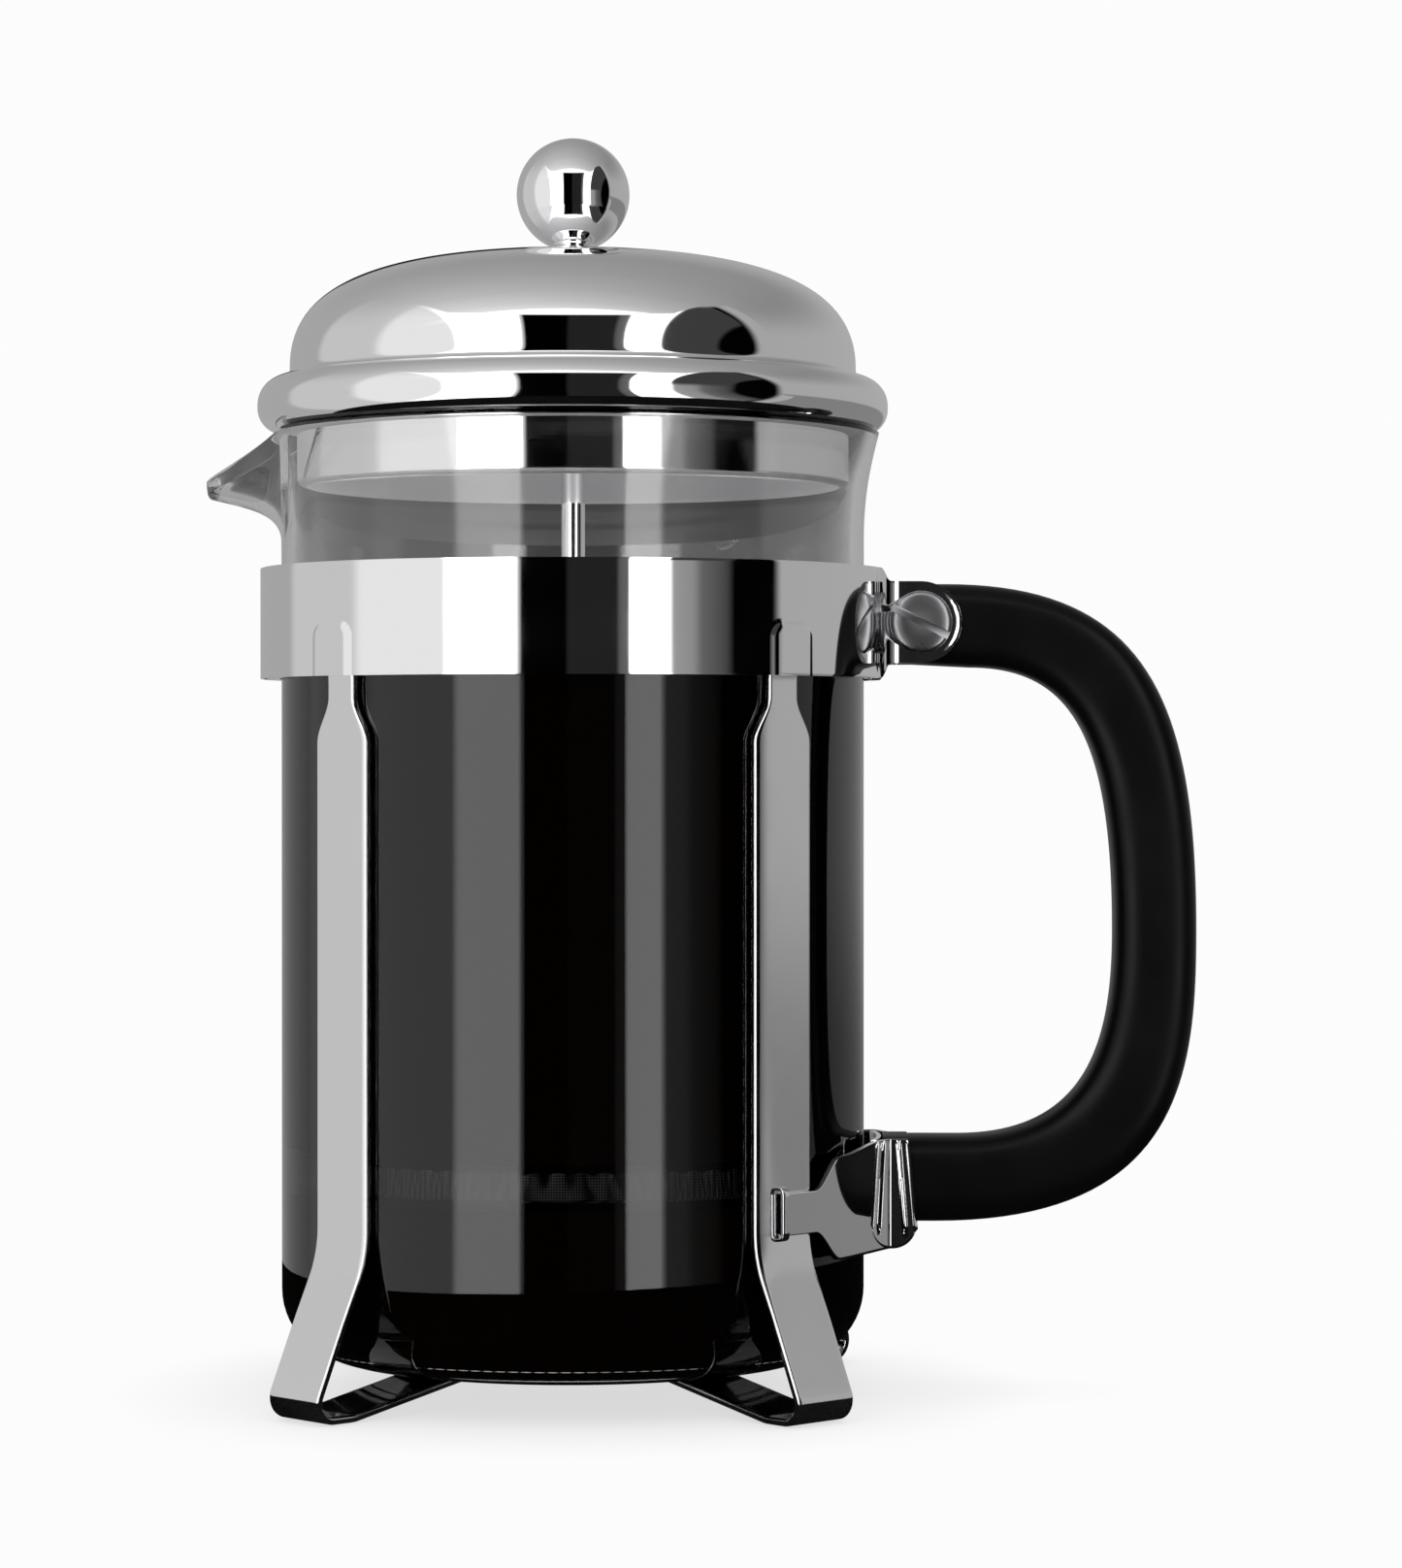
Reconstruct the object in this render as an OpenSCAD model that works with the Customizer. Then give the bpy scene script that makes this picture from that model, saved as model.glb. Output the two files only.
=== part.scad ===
// French press: glass beaker in a sprung metal frame, domed lid and plunger.
// +Z is up, the handle is on +X, the spout on -X, and the feet stand on Z = 0.

/* [Beaker] */
// Outer diameter of the glass
glass_d = 100; // [98:1:102]
// Wall of the glass
glass_wall = 2.3; // [2:0.1:2.4]
// Thickness of the glass floor
glass_floor = 2.6; // [2:0.1:4]
// Radius of the glass's lower corner
glass_corner = 12; // [8:1:14]
// Height of the rim above the table
rim_z = 164.2; // [162:0.1:170]
// How far the rim flares out
rim_flare = 2.6; // [2:0.1:2.6]
// How far the spout reaches from the glass's axis
spout_reach = 63.2; // [60:0.1:66]

/* [Frame] */
// Thickness of the leg strips
strip_t = 1.2; // [1:0.1:1.2]
// Width of the leg strips
strip_w = 12.6; // [11:0.1:13]
// Width of a leg's neck, below the collar
neck_w = 6.3; // [5:0.1:7]
// Underside of the collar
collar_z = 122; // [118:0.5:122]
// Height of the collar
collar_h = 18.8; // [18.6:0.1:20]
// Sheet thickness of the collar
collar_t = 1; // [0.8:0.1:1]
// Height of a lug
lug_h = 13.9; // [13:0.1:14]
// Slope of a leg's lower stretch, from the vertical
leg_slope = 23.5; // [20:0.5:25]

/* [Handle] */
// How far the handle reaches from the glass's axis
handle_reach = 106.9; // [104:0.1:110]
// Depth of the handle, along Y
handle_d = 15; // [14:0.5:16]
// Diameter of the screw heads
screw_head_d = 10.6; // [9:0.1:11.6]
// Diameter of the screw
screw_d = 4; // [3:0.5:4]

/* [Lid] */
// Top of the dome
dome_top = 195; // [192:0.5:198]
// Diameter across the bead
bead_d = 108.2; // [108:0.1:110]
// Sheet thickness of the lid
lid_t = 0.8; // [0.6:0.1:0.9]
// Depth of the skirt below the rim
skirt_depth = 9.5; // [6:0.5:12]

/* [Plunger] */
// Diameter of the ball
knob_d = 19.4; // [17:0.1:22]
// Diameter of the rod
rod_d = 4; // [3.5:0.1:5]
// Underside of the filter at the end of its travel
filter_z = 35.2; // [34:0.1:40]
// Height of the mesh rim
mesh_h = 5.2; // [5:0.1:6]

/* [Hidden] */
$fn = 96;

chrome = [0.82, 0.83, 0.85];
steel = [0.66, 0.68, 0.7];
black = [0.05, 0.05, 0.05];

// The part's origin is the middle of its box, so every piece is moved by this along X
centre_x = (handle_reach - spout_reach) / 2;
eps = 0.01;
reach = 200;

// Glass
glass_r = glass_d / 2;
bore_r = glass_r - glass_wall;
glass_z = 5.7;
flare_z = 146;
flare_rise = rim_z - flare_z;
rim_bevel = 0.8;

// Spout: its throat is where it leaves the glass
throat_top_half = 17;
throat_mid_half = 12;
throat_low_half = 3;
throat_top_z = rim_z - 1.2;
throat_mid_z = rim_z - 12;
throat_low_z = rim_z - 20;
throat_shoulder = 4;
spout_tip_r = 1.8;
spout_tip_z = rim_z - 8.6;

// Collar: a round band, with a lug at each end that a bend leads out to
collar_in = glass_r + 1.7;
collar_out = collar_in + collar_t;
collar_top = collar_z + collar_h;
hem_in = glass_r + 0.35;
hem_h = 1;
pocket_out = 1.2;
pocket_w = 8.6;
pocket_h = 8.5;
lug_x = glass_r + 9.6;
lug_z = 131.6;
lug_in = handle_d / 2;
lug_out = lug_in + collar_t;
cove_r = 5;
cove = [sqrt(pow(collar_out + cove_r, 2) - pow(lug_out + cove_r, 2)), -(lug_out + cove_r)];
cove_angle = atan2(cove.y, cove.x);
band_end = cove_angle - 6;
tongue_angle = 1.5;
lap = 0.05;

// Legs: a leg's middle line runs down, out to the heel, round the foot and in under the glass
leg_gap = 0.45;
leg_r = glass_r + leg_gap + strip_t / 2;
leg_azimuths = [45, 135, 225, 315];
strip_z = glass_z - strip_t / 2;
lower_strip_z = strip_z - strip_t;
neck_z = collar_z - 3.5;
shoulder_z = collar_z - 11;
bend_r = 20;
bend_z = 31;
foot_r = 3;
foot_flat = 3.6;
toe_r = 8;
ramp_angle = 11;
knee = [leg_r + bend_r * (1 - cos(leg_slope)), bend_z - bend_r * sin(leg_slope)];
heel_z = strip_t / 2 + foot_r;
heel_x = knee.x + (knee.y - heel_z - foot_r * sin(leg_slope)) * tan(leg_slope) - foot_r * cos(leg_slope);
toe_x = heel_x - foot_flat;
ramp_top = [toe_x - toe_r * sin(ramp_angle), strip_t / 2 + toe_r * (1 - cos(ramp_angle))];
ramp_end_x = ramp_top.x - (strip_z - ramp_top.y) / tan(ramp_angle);
joggle_x = [14, 9];
rivet_r = 2;
rivet_head_r = 3.8;
rivet_head_h = 1.2;

// Handle: a D with straight ends, one between the lugs and one in the bracket
handle_top = lug_z + 6.7;
handle_low = 29.1;
handle_mid_z = 79;
handle_arm_x = glass_r + 12;
handle_upper_x = glass_r + 4.2;
handle_lower_x = glass_r + 3.2;
upper_arm_h = 14.3;
lower_arm_h = 14.8;
inner_x = handle_reach - 14.2;

// Screw and nut through the lugs
sleeve_r = screw_d / 2 + 1;
head_r = screw_head_d / 2;
head_h = 1.7;
head_seat_h = 0.45;
head_slope = 1.6;
slot_w = 1.3;
slot_angle = 27;

// Lower bracket: tabs on the legs, wings, and a socket for the handle
bracket_in = glass_r + 2.1;
bracket_t = 0.9;
bracket_out = bracket_in + bracket_t;
tab_z = [30, 36.9];
wing_z = [25, 43.6];
tab_azimuth = 48.5;
wing_azimuths = [38, 30];
socket_x = [bracket_in + 0.2, glass_r + 8];
socket_lip = 1.3;
socket_corner = 4.6;
loop_w = 2.7;
loop_t = 0.9;
loop_room = 1.5;
loop_offset = 2.2;
loop_gap = 0.3;

// Lid
bead_r = bead_d / 2;
bead_top_r = 4.7;
bead_low_r = 2.9;
dome_r = bead_r - bead_top_r - 0.8;
skirt_r = bore_r - 0.4;
bush_hole_r = rod_d / 2 + 1;
bush_r = rod_d / 2 + 0.05;
bush_flange_r = bush_hole_r + 1.2;
bush_flange_t = 0.6;
bush_top = dome_top + bush_flange_t;
bush_gap = 0.03;

// Plunger
rod_r = rod_d / 2;
knob_r = knob_d / 2;
insert_r = rod_r + 1.4;
knob_z = bush_top + knob_r;
insert_top = knob_z - 1.3;
mesh_r = bore_r - 0.3;
mesh_t = 0.5;
plate_t = 1;
cross_r = mesh_r - 2.6;
cross_rim_w = 4;
cross_arm_w = 9;
cross_middle_r = 11;
hub_r = rod_r + 1.6;
hub_flange_r = hub_r + 2.4;
hub_flange_h = 1.4;
mesh_z = filter_z + plate_t;
dish_z = mesh_z + mesh_t;
dish_t = 0.8;
hub_top = dish_z + dish_t;
nut_r = 5.2;
nut_h = 4;
spring_r = 2.55;
spring_ring_r = mesh_r - mesh_t - 0.05 - spring_r;
spring_z = dish_z + spring_r + 0.05;

// Points of an arc about c, from angle a0 to angle a1
function arc(c, r, a0, a1, n = 12) =
    [for (i = [0 : n]) let (a = a0 + (a1 - a0) * i / n) [c.x + r * cos(a), c.y + r * sin(a)]];

// Points of a cubic curve with end points p0 and p3
function curve(p0, p1, p2, p3, n = 12) =
    [for (i = [0 : n]) let (t = i / n, u = 1 - t)
        u * u * u * p0 + 3 * u * u * t * p1 + 3 * u * t * t * p2 + t * t * t * p3];

function reversed(points) = [for (i = [len(points) - 1 : -1 : 0]) points[i]];

function unit(v) = v / norm(v);

// Normal of a path at point i, to its left
function path_normal(path, i) =
    let (before = path[max(i - 1, 0)], after = path[min(i + 1, len(path) - 1)], d = unit(after - before))
    [-d.y, d.x];

// Outline of a strip of thickness t along a path
function thick(path, t) = concat(
    [for (i = [0 : len(path) - 1]) path[i] + path_normal(path, i) * t / 2],
    [for (i = [len(path) - 1 : -1 : 0]) path[i] - path_normal(path, i) * t / 2]);

module placed() translate([-centre_x, 0, 0]) children();

module cylinder_from(r, z0, z1) translate([0, 0, z0]) cylinder(r = r, h = z1 - z0);

// A profile in the plane of X and Z, extruded along Y and centred on it
module along_y(width) rotate([90, 0, 0]) linear_extrude(width, center = true) children();

// A ring between two radii
module ring(r_in, r_out, z0, z1) translate([0, 0, z0]) difference() {
    cylinder(r = r_out, h = z1 - z0);
    translate([0, 0, -eps]) cylinder(r = r_in, h = z1 - z0 + 2 * eps);
}

// ---- Beaker ----

// Line of the flare from the wall of radius r up to the rim
function flare(r) = curve([r, flare_z], [r, flare_z + 0.44 * flare_rise],
                          [r + rim_flare / 2, rim_z - 0.27 * flare_rise],
                          [r + rim_flare, rim_z - rim_bevel], 6);

module glass_section() polygon(concat(
    [[0, glass_z]],
    arc([glass_r - glass_corner, glass_z + glass_corner], glass_corner, -90, 0),
    flare(glass_r),
    [[glass_r + rim_flare - rim_bevel, rim_z], [bore_r + rim_flare + rim_bevel / 2, rim_z]],
    reversed(flare(bore_r)),
    reversed(arc([glass_r - glass_corner, glass_z + glass_floor + glass_corner - glass_wall],
                 glass_corner - glass_wall, -90, 0)),
    [[0, glass_z + glass_floor]]));

// Thin upright plate with the outline of the throat, inset by gap and carried up to top
module throat_plate(x, gap, top) translate([x, 0, 0]) rotate([90, 0, 90]) linear_extrude(1) {
    half = [[throat_low_half, throat_low_z + gap], [throat_mid_half - gap, throat_mid_z],
            [throat_top_half - gap, throat_top_z - throat_shoulder], [throat_top_half - gap, top]];
    polygon(concat(half, reversed([for (p = half) [-p.x, p.y]])));
}

module spout_outside() hull() {
    throat_plate(-glass_r + 2, 0, throat_top_z);
    translate([-spout_reach + spout_tip_r, 0, spout_tip_z]) sphere(spout_tip_r, $fn = 32);
}

// The channel of the spout, carried on above the rim so that it opens upwards
module spout_inside() hull() {
    channel_r = 0.8;
    throat_plate(-glass_r + 3, glass_wall, rim_z + 6);
    translate([-spout_reach + spout_tip_r + channel_r, 0, spout_tip_z + 1.4])
        cylinder(r = channel_r, h = 14, $fn = 32);
}

module glass_beaker() placed() color([0.7, 0.78, 0.8, 0.5]) difference() {
    union() {
        rotate_extrude() glass_section();
        difference() {
            spout_outside();
            translate([0, 0, glass_z]) cylinder(r = glass_r - 0.5, h = rim_z);
        }
    }
    spout_inside();
}

// ---- Frame ----

// The bend and the lug on the -Y side, seen from above; its start is a tongue inside the band
module lug_plan() {
    lug_end = lug_x + lug_h / 2 + 1;
    polygon(concat(
        arc([0, 0], collar_out - lap, band_end - tongue_angle, cove_angle, 4),
        arc(cove, cove_r + lap, 180 + cove_angle, 90, 8),
        [[lug_end, -lug_out + lap], [lug_end, -lug_in]],
        arc(cove, cove_r + collar_t, 90, 180 + cove_angle, 8),
        arc([0, 0], collar_in + lap, cove_angle, band_end - tongue_angle, 4)));
}

// The bend and the lug seen from the side: band height near the glass, lug height past it
module lug_side() {
    translate([0, collar_z + lap]) square([collar_out, collar_h - 2 * lap]);
    translate([0, lug_z - lug_h / 2]) square([lug_x, lug_h]);
    translate([lug_x, lug_z]) circle(lug_h / 2);
}

// The round band: a channel whose hemmed edges face the glass
module band_section() polygon([
    [hem_in, collar_z], [collar_out, collar_z], [collar_out, collar_top], [hem_in, collar_top],
    [hem_in, collar_top - hem_h], [collar_in, collar_top - hem_h], [collar_in, collar_z + hem_h],
    [hem_in, collar_z + hem_h]]);

// Wedge of a ring, w wide at its outer radius, turned to azimuth a
module pocket_block(a, r_in, r_out, w, z0, z1) {
    angle = w / r_out * 180 / PI;
    rotate([0, 0, a - angle / 2]) rotate_extrude(angle = angle)
        translate([r_in, z0]) square([r_out - r_in, z1 - z0]);
}

module collar_band() placed() color(chrome) difference() {
    union() {
        rotate([0, 0, -band_end]) rotate_extrude(angle = 360 + 2 * band_end) band_section();
        intersection() {
            linear_extrude(reach) {
                lug_plan();
                mirror([0, 1]) lug_plan();
            }
            along_y(reach) lug_side();
        }
        for (a = leg_azimuths)
            pocket_block(a, collar_in + 0.3, collar_out + pocket_out, pocket_w, collar_z + 0.2,
                         collar_z + pocket_h);
    }
    for (a = leg_azimuths)
        pocket_block(a, hem_in - 1, collar_in + pocket_out, pocket_w - 1.6, collar_z - 1,
                     collar_z + pocket_h - 0.8);
    translate([lug_x, 0, lug_z]) rotate([90, 0, 0]) cylinder(r = sleeve_r, h = reach, center = true);
}

// Middle line of a leg from its top, which joggles out into the pocket, to the run under the glass
function leg_path(run_z) = concat(
    [[leg_r + pocket_out, collar_z + pocket_h - 1.2], [leg_r + pocket_out, collar_z + 2.4],
     [leg_r, collar_z - 1]],
    arc([leg_r + bend_r, bend_z], bend_r, 180, 180 + leg_slope, 6),
    arc([heel_x, heel_z], foot_r, leg_slope, -90, 10),
    arc([toe_x, strip_t / 2 + toe_r], toe_r, -90, -90 - ramp_angle, 3),
    [[ramp_end_x, strip_z], [joggle_x[0], strip_z], [joggle_x[1], run_z], [0, run_z]]);

// Front view of a leg: the neck, and the shoulders below it
module leg_front() {
    half = strip_w / 2;
    side = curve([neck_w / 2, neck_z], [neck_w / 2, neck_z - 3], [half, shoulder_z + 4.5],
                 [half, shoulder_z], 6);
    polygon(concat([[neck_w / 2, reach]], side, [[half, -10]],
                   [[-half, -10]], reversed([for (p = side) [-p.x, p.y]]), [[-neck_w / 2, reach]]));
}

// One leg at azimuth a, with its half of the run under the glass
module leg(a, run_z) rotate([0, 0, a]) intersection() {
    along_y(strip_w) polygon(thick(leg_path(run_z), strip_t));
    rotate([90, 0, 90]) linear_extrude(reach) leg_front();
}

// Raised loop on a leg, which the bracket's tab slides under
module loop(a, side) {
    loop_in = leg_r + strip_t / 2;
    tab_h = tab_z[1] - tab_z[0];
    loop_h = tab_h + 2 * (loop_gap + 1);
    rotate([0, 0, a]) translate([0, side * loop_offset, 0]) along_y(loop_w) difference() {
        translate([loop_in - eps, tab_z[0] - loop_gap - 1]) square([loop_room + loop_t, loop_h]);
        translate([loop_in - 1, tab_z[0] - loop_gap]) square([loop_room + 1, tab_h + 2 * loop_gap]);
    }
}

module leg_strip(a, run_z, side) placed() color(chrome) difference() {
    union() {
        leg(a, run_z);
        leg(a + 180, run_z);
        loop(a, side);
    }
    cylinder(r = rivet_r, h = 20);
}

module leg_strip_upper() leg_strip(leg_azimuths[0], strip_z, 1);

module leg_strip_lower() leg_strip(leg_azimuths[3], lower_strip_z, -1);

module base_rivet() placed() color(steel) {
    low = lower_strip_z - strip_t / 2;
    cylinder_from(rivet_r, low - eps, glass_z - 0.1);
    cylinder_from(rivet_head_r, low - rivet_head_h, low);
}

// ---- Handle ----

function handle_outer() = concat(
    curve([handle_arm_x + 2, handle_top], [handle_reach - 8.2, handle_top], [handle_reach, 118],
          [handle_reach, handle_mid_z], 16),
    curve([handle_reach, handle_mid_z], [handle_reach, 55], [handle_reach - 2, handle_low],
          [handle_arm_x, handle_low], 16));

function handle_inner() = concat(
    curve([handle_arm_x + 6, handle_top - upper_arm_h], [inner_x - 8, handle_top - upper_arm_h],
          [inner_x, 114], [inner_x, handle_mid_z], 16),
    curve([inner_x, handle_mid_z], [inner_x, 60], [inner_x - 4, handle_low + lower_arm_h],
          [handle_arm_x + 4, handle_low + lower_arm_h], 16));

module handle() placed() color(black) difference() {
    along_y(handle_d) polygon(concat(
        [[handle_upper_x, handle_top]], handle_outer(),
        [[handle_lower_x, handle_low], [handle_lower_x, handle_low + lower_arm_h]],
        reversed(handle_inner()), [[handle_upper_x, handle_top - upper_arm_h + 0.7]]));
    translate([lug_x, 0, lug_z]) rotate([90, 0, 0]) cylinder(r = sleeve_r, h = reach, center = true);
}

// Shallow round head on the outside of a lug, facing -Y, with its slot; it stands on a small seat,
// clear of the bend beside it
module slotted_head() translate([lug_x, -lug_out, lug_z]) rotate([90, 0, 0]) difference() {
    slope_z = head_seat_h + (head_h - head_seat_h) * 0.4;
    union() {
        cylinder_from(sleeve_r + 0.5, 0, head_seat_h + eps);
        cylinder_from(head_r, head_seat_h, slope_z);
        translate([0, 0, slope_z]) cylinder(r1 = head_r, r2 = head_r - head_slope, h = head_h - slope_z);
    }
    rotate([0, 0, -slot_angle]) translate([-reach / 2, -slot_w / 2, slope_z])
        cube([reach, slot_w, head_h]);
}

module along_lug(r, y0, y1) translate([lug_x, y1, lug_z]) rotate([90, 0, 0]) cylinder(r = r, h = y1 - y0);

module handle_screw() placed() color(chrome) {
    slotted_head();
    along_lug(screw_d / 2, -lug_out, 5);
}

module handle_nut() placed() color(chrome) {
    mirror([0, 1, 0]) slotted_head();
    difference() {
        along_lug(sleeve_r, -4, lug_out);
        along_lug(screw_d / 2, -5, 5);
    }
}

// The bracket's wings, tabs and middle, seen along X
module bracket_front() {
    tab_y = bracket_out * sin(tab_azimuth);
    wing_y = [for (a = wing_azimuths) bracket_in * sin(a)];
    half = [[0, wing_z[0]], [wing_y[1], wing_z[0]], [wing_y[0], tab_z[0]], [tab_y, tab_z[0]],
            [tab_y, tab_z[1]], [wing_y[0], tab_z[1]], [wing_y[1], wing_z[1] - 1.4], [0, wing_z[1]]];
    polygon(half);
    mirror([1, 0]) polygon(half);
}

// One side wall of the socket, seen from the side, with its rounded lower corner
module cheek_side() polygon(concat(
    [[socket_x[0], wing_z[0]]],
    arc([socket_x[1] + socket_lip - socket_corner, wing_z[0] + socket_corner], socket_corner, -90, 0, 8),
    [[socket_x[1], wing_z[1]], [socket_x[0], wing_z[1]]]));

module lower_bracket() placed() color(chrome) {
    cheek_y = (handle_d + bracket_t) / 2;
    intersection() {
        ring(bracket_in, bracket_out, wing_z[0], wing_z[1]);
        rotate([90, 0, 90]) linear_extrude(reach) bracket_front();
    }
    for (y = [-cheek_y, cheek_y]) translate([0, y, 0]) along_y(bracket_t) cheek_side();
    translate([0, 0, handle_low - bracket_t]) linear_extrude(bracket_t)
        translate([socket_x[0] + 0.4, -handle_d / 2]) square([socket_x[1] - socket_x[0] + 0.4, handle_d]);
}

// ---- Lid ----

// Outline of the dome and its rolled bead, drawn at inset t from the outer face
function dome_line(t) = concat(
    curve([bush_hole_r, dome_top - t], [27, dome_top - t], [dome_r - t, dome_top - 3 - t],
          [dome_r - t, rim_z + 11.3], 16),
    [[dome_r - t, rim_z + 9.8 - t]],
    arc([bead_r - bead_top_r, rim_z + bead_top_r], bead_top_r - t, 84, 0, 8),
    arc([bead_r - bead_low_r, rim_z + bead_low_r], bead_low_r - t, 0, -90, 6),
    [[skirt_r + 0.3, rim_z + t]]);

module lid_dome() placed() color(chrome)
    rotate_extrude() polygon(concat(dome_line(0), reversed(dome_line(lid_t))));

// The skirt stands inside the glass: its foot turns in, and its flange lies in the bead
module lid_skirt() placed() color(chrome) rotate_extrude() {
    low = rim_z - skirt_depth;
    foot_in = skirt_r - 1.5;
    flange_out = bead_r - bead_top_r + 0.9;
    polygon([[skirt_r - lid_t, low + lid_t], [foot_in, low + lid_t], [foot_in, low],
             [skirt_r - 0.3, low], [skirt_r, low + 0.3], [skirt_r, rim_z + lid_t],
             [flange_out, rim_z + lid_t], [flange_out, rim_z + 2 * lid_t],
             [skirt_r - lid_t, rim_z + 2 * lid_t]]);
}

module lid_bush() placed() color(chrome) rotate_extrude() {
    flange_z = dome_top - lid_t - bush_gap;
    low = flange_z - bush_flange_t;
    polygon([[bush_r, low], [bush_flange_r, low], [bush_flange_r, flange_z],
             [bush_hole_r, flange_z], [bush_hole_r, dome_top], [bush_flange_r, dome_top],
             [bush_flange_r - 0.2, bush_top], [bush_r, bush_top]]);
}

// ---- Plunger ----

module plunger_knob() placed() color(chrome) difference() {
    translate([0, 0, knob_z]) sphere(knob_r);
    cylinder_from(insert_r, bush_top - 1, insert_top);
}

module knob_insert() placed() color(chrome) difference() {
    cylinder_from(insert_r, bush_top, insert_top);
    cylinder_from(rod_r, bush_top - 1, insert_top - 1);
}

module plunger_rod() placed() color(chrome) cylinder_from(rod_r, filter_z - 1, insert_top - 1);

module rod_nut() placed() color(steel) difference() {
    translate([0, 0, hub_top]) cylinder(r = nut_r, h = nut_h, $fn = 6);
    cylinder_from(rod_r, hub_top - 1, hub_top + nut_h + 1);
}

module holes(count, ring_radius, r) for (i = [0 : count - 1])
    rotate([0, 0, i * 360 / count]) translate([ring_radius, 0, 0])
        cylinder_from(r, filter_z - 5, filter_z + 12);

module spiral_plate() placed() color(steel) difference() {
    groove_z = spring_z - dish_t / 2;
    rotate_extrude() polygon([
        [hub_r, dish_z], [33, dish_z], [37, groove_z], [spring_ring_r - 0.7, groove_z],
        [spring_ring_r - 0.7, groove_z + dish_t], [36.7, groove_z + dish_t], [32.7, hub_top],
        [hub_r, hub_top]]);
    holes(6, 15, 4.5);
    holes(12, 26, 3.6);
}

module edge_spring() placed() color(steel) rotate_extrude() difference() {
    translate([spring_ring_r, spring_z]) circle(spring_r, $fn = 32);
    translate([spring_ring_r - 10, spring_z - dish_t / 2]) square([9.3, dish_t]);
}

module mesh_screen() placed() color(steel) rotate_extrude() polygon([
    [hub_r, mesh_z], [mesh_r - 0.5, mesh_z], [mesh_r, mesh_z + 0.5], [mesh_r, mesh_z + mesh_h],
    [mesh_r - mesh_t, mesh_z + mesh_h], [mesh_r - mesh_t, mesh_z + mesh_t], [hub_r, mesh_z + mesh_t]]);

module cross_plate() placed() color(steel) difference() {
    arm = cross_r - cross_rim_w / 2;
    union() {
        ring(cross_r - cross_rim_w, cross_r, filter_z, filter_z + plate_t);
        cylinder_from(cross_middle_r, filter_z, filter_z + plate_t);
        for (a = [0, 90]) rotate([0, 0, a]) translate([-arm, -cross_arm_w / 2, filter_z])
            cube([2 * arm, cross_arm_w, plate_t]);
    }
    cylinder_from(hub_r, filter_z - 1, filter_z + plate_t + 1);
}

module cross_hub() placed() color(steel) difference() {
    union() {
        cylinder_from(hub_flange_r, filter_z - hub_flange_h, filter_z);
        cylinder_from(hub_r, filter_z - eps, hub_top);
    }
    cylinder_from(rod_r, filter_z - 1, hub_top + 1);
}

collar_band();
leg_strip_upper();
leg_strip_lower();
base_rivet();
handle();
handle_screw();
handle_nut();
lower_bracket();
glass_beaker();
lid_dome();
lid_skirt();
lid_bush();
plunger_knob();
knob_insert();
plunger_rod();
rod_nut();
spiral_plate();
edge_spring();
mesh_screen();
cross_plate();
cross_hub();
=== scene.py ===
"""The looks of a french press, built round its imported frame.

Points are written in millimetres, with X and Y measured from the glass's axis and Z from the table.
"""

import math

import bmesh
import bpy
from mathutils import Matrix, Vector


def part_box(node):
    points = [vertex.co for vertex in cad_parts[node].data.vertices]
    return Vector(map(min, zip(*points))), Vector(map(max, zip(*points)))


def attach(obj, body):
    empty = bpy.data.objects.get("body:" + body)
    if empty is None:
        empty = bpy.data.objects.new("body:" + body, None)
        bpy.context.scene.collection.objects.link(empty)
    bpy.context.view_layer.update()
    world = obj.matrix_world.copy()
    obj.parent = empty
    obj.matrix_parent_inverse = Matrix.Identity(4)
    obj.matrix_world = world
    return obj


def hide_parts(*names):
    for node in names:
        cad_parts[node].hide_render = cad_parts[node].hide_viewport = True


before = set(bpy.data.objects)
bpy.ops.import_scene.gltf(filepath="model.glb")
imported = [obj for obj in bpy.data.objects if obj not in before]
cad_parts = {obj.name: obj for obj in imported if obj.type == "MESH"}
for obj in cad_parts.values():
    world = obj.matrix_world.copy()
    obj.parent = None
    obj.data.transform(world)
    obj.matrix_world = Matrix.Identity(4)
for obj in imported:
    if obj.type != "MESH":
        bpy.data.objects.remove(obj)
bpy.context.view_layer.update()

MM = 0.001

rod_low, rod_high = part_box("plunger_rod")
AXIS_X = (rod_low.x + rod_high.x) / 2


def box_mm(node):
    """Lowest and highest corner of a CAD node in millimetres, measured from the glass's axis."""
    low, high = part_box(node)
    shift = Vector((AXIS_X, 0, 0))
    return (low - shift) / MM, (high - shift) / MM


def reach_mm(node, z_low, z_high):
    """Largest distance from the glass's axis of a CAD node's points between two heights."""
    points = [v.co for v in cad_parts[node].data.vertices]
    return max(math.hypot(p.x - AXIS_X, p.y) / MM for p in points if z_low <= p.z / MM <= z_high)


# ---- Camera ----

CAMERA_DISTANCE = 0.790
CAMERA_HEIGHT = 0.1087
CAMERA_AZIMUTH = math.radians(3)
CAMERA_LENS = 105.3
CAMERA_SENSOR = 36
AIM = Vector((AXIS_X + 0.022, 0, 0.1040))


def make_camera():
    data = bpy.data.cameras.new("camera")
    data.lens = CAMERA_LENS
    data.sensor_fit = "VERTICAL"
    data.sensor_height = CAMERA_SENSOR
    data.clip_start = 0.01
    data.clip_end = 100
    camera = bpy.data.objects.new("camera", data)
    bpy.context.scene.collection.objects.link(camera)
    camera.location = (
        AXIS_X + CAMERA_DISTANCE * math.sin(CAMERA_AZIMUTH),
        -CAMERA_DISTANCE * math.cos(CAMERA_AZIMUTH),
        CAMERA_HEIGHT,
    )
    camera.rotation_euler = (AIM - camera.location).to_track_quat("-Z", "Y").to_euler()
    bpy.context.scene.camera = camera


make_camera()

# ---- Materials ----


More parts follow.
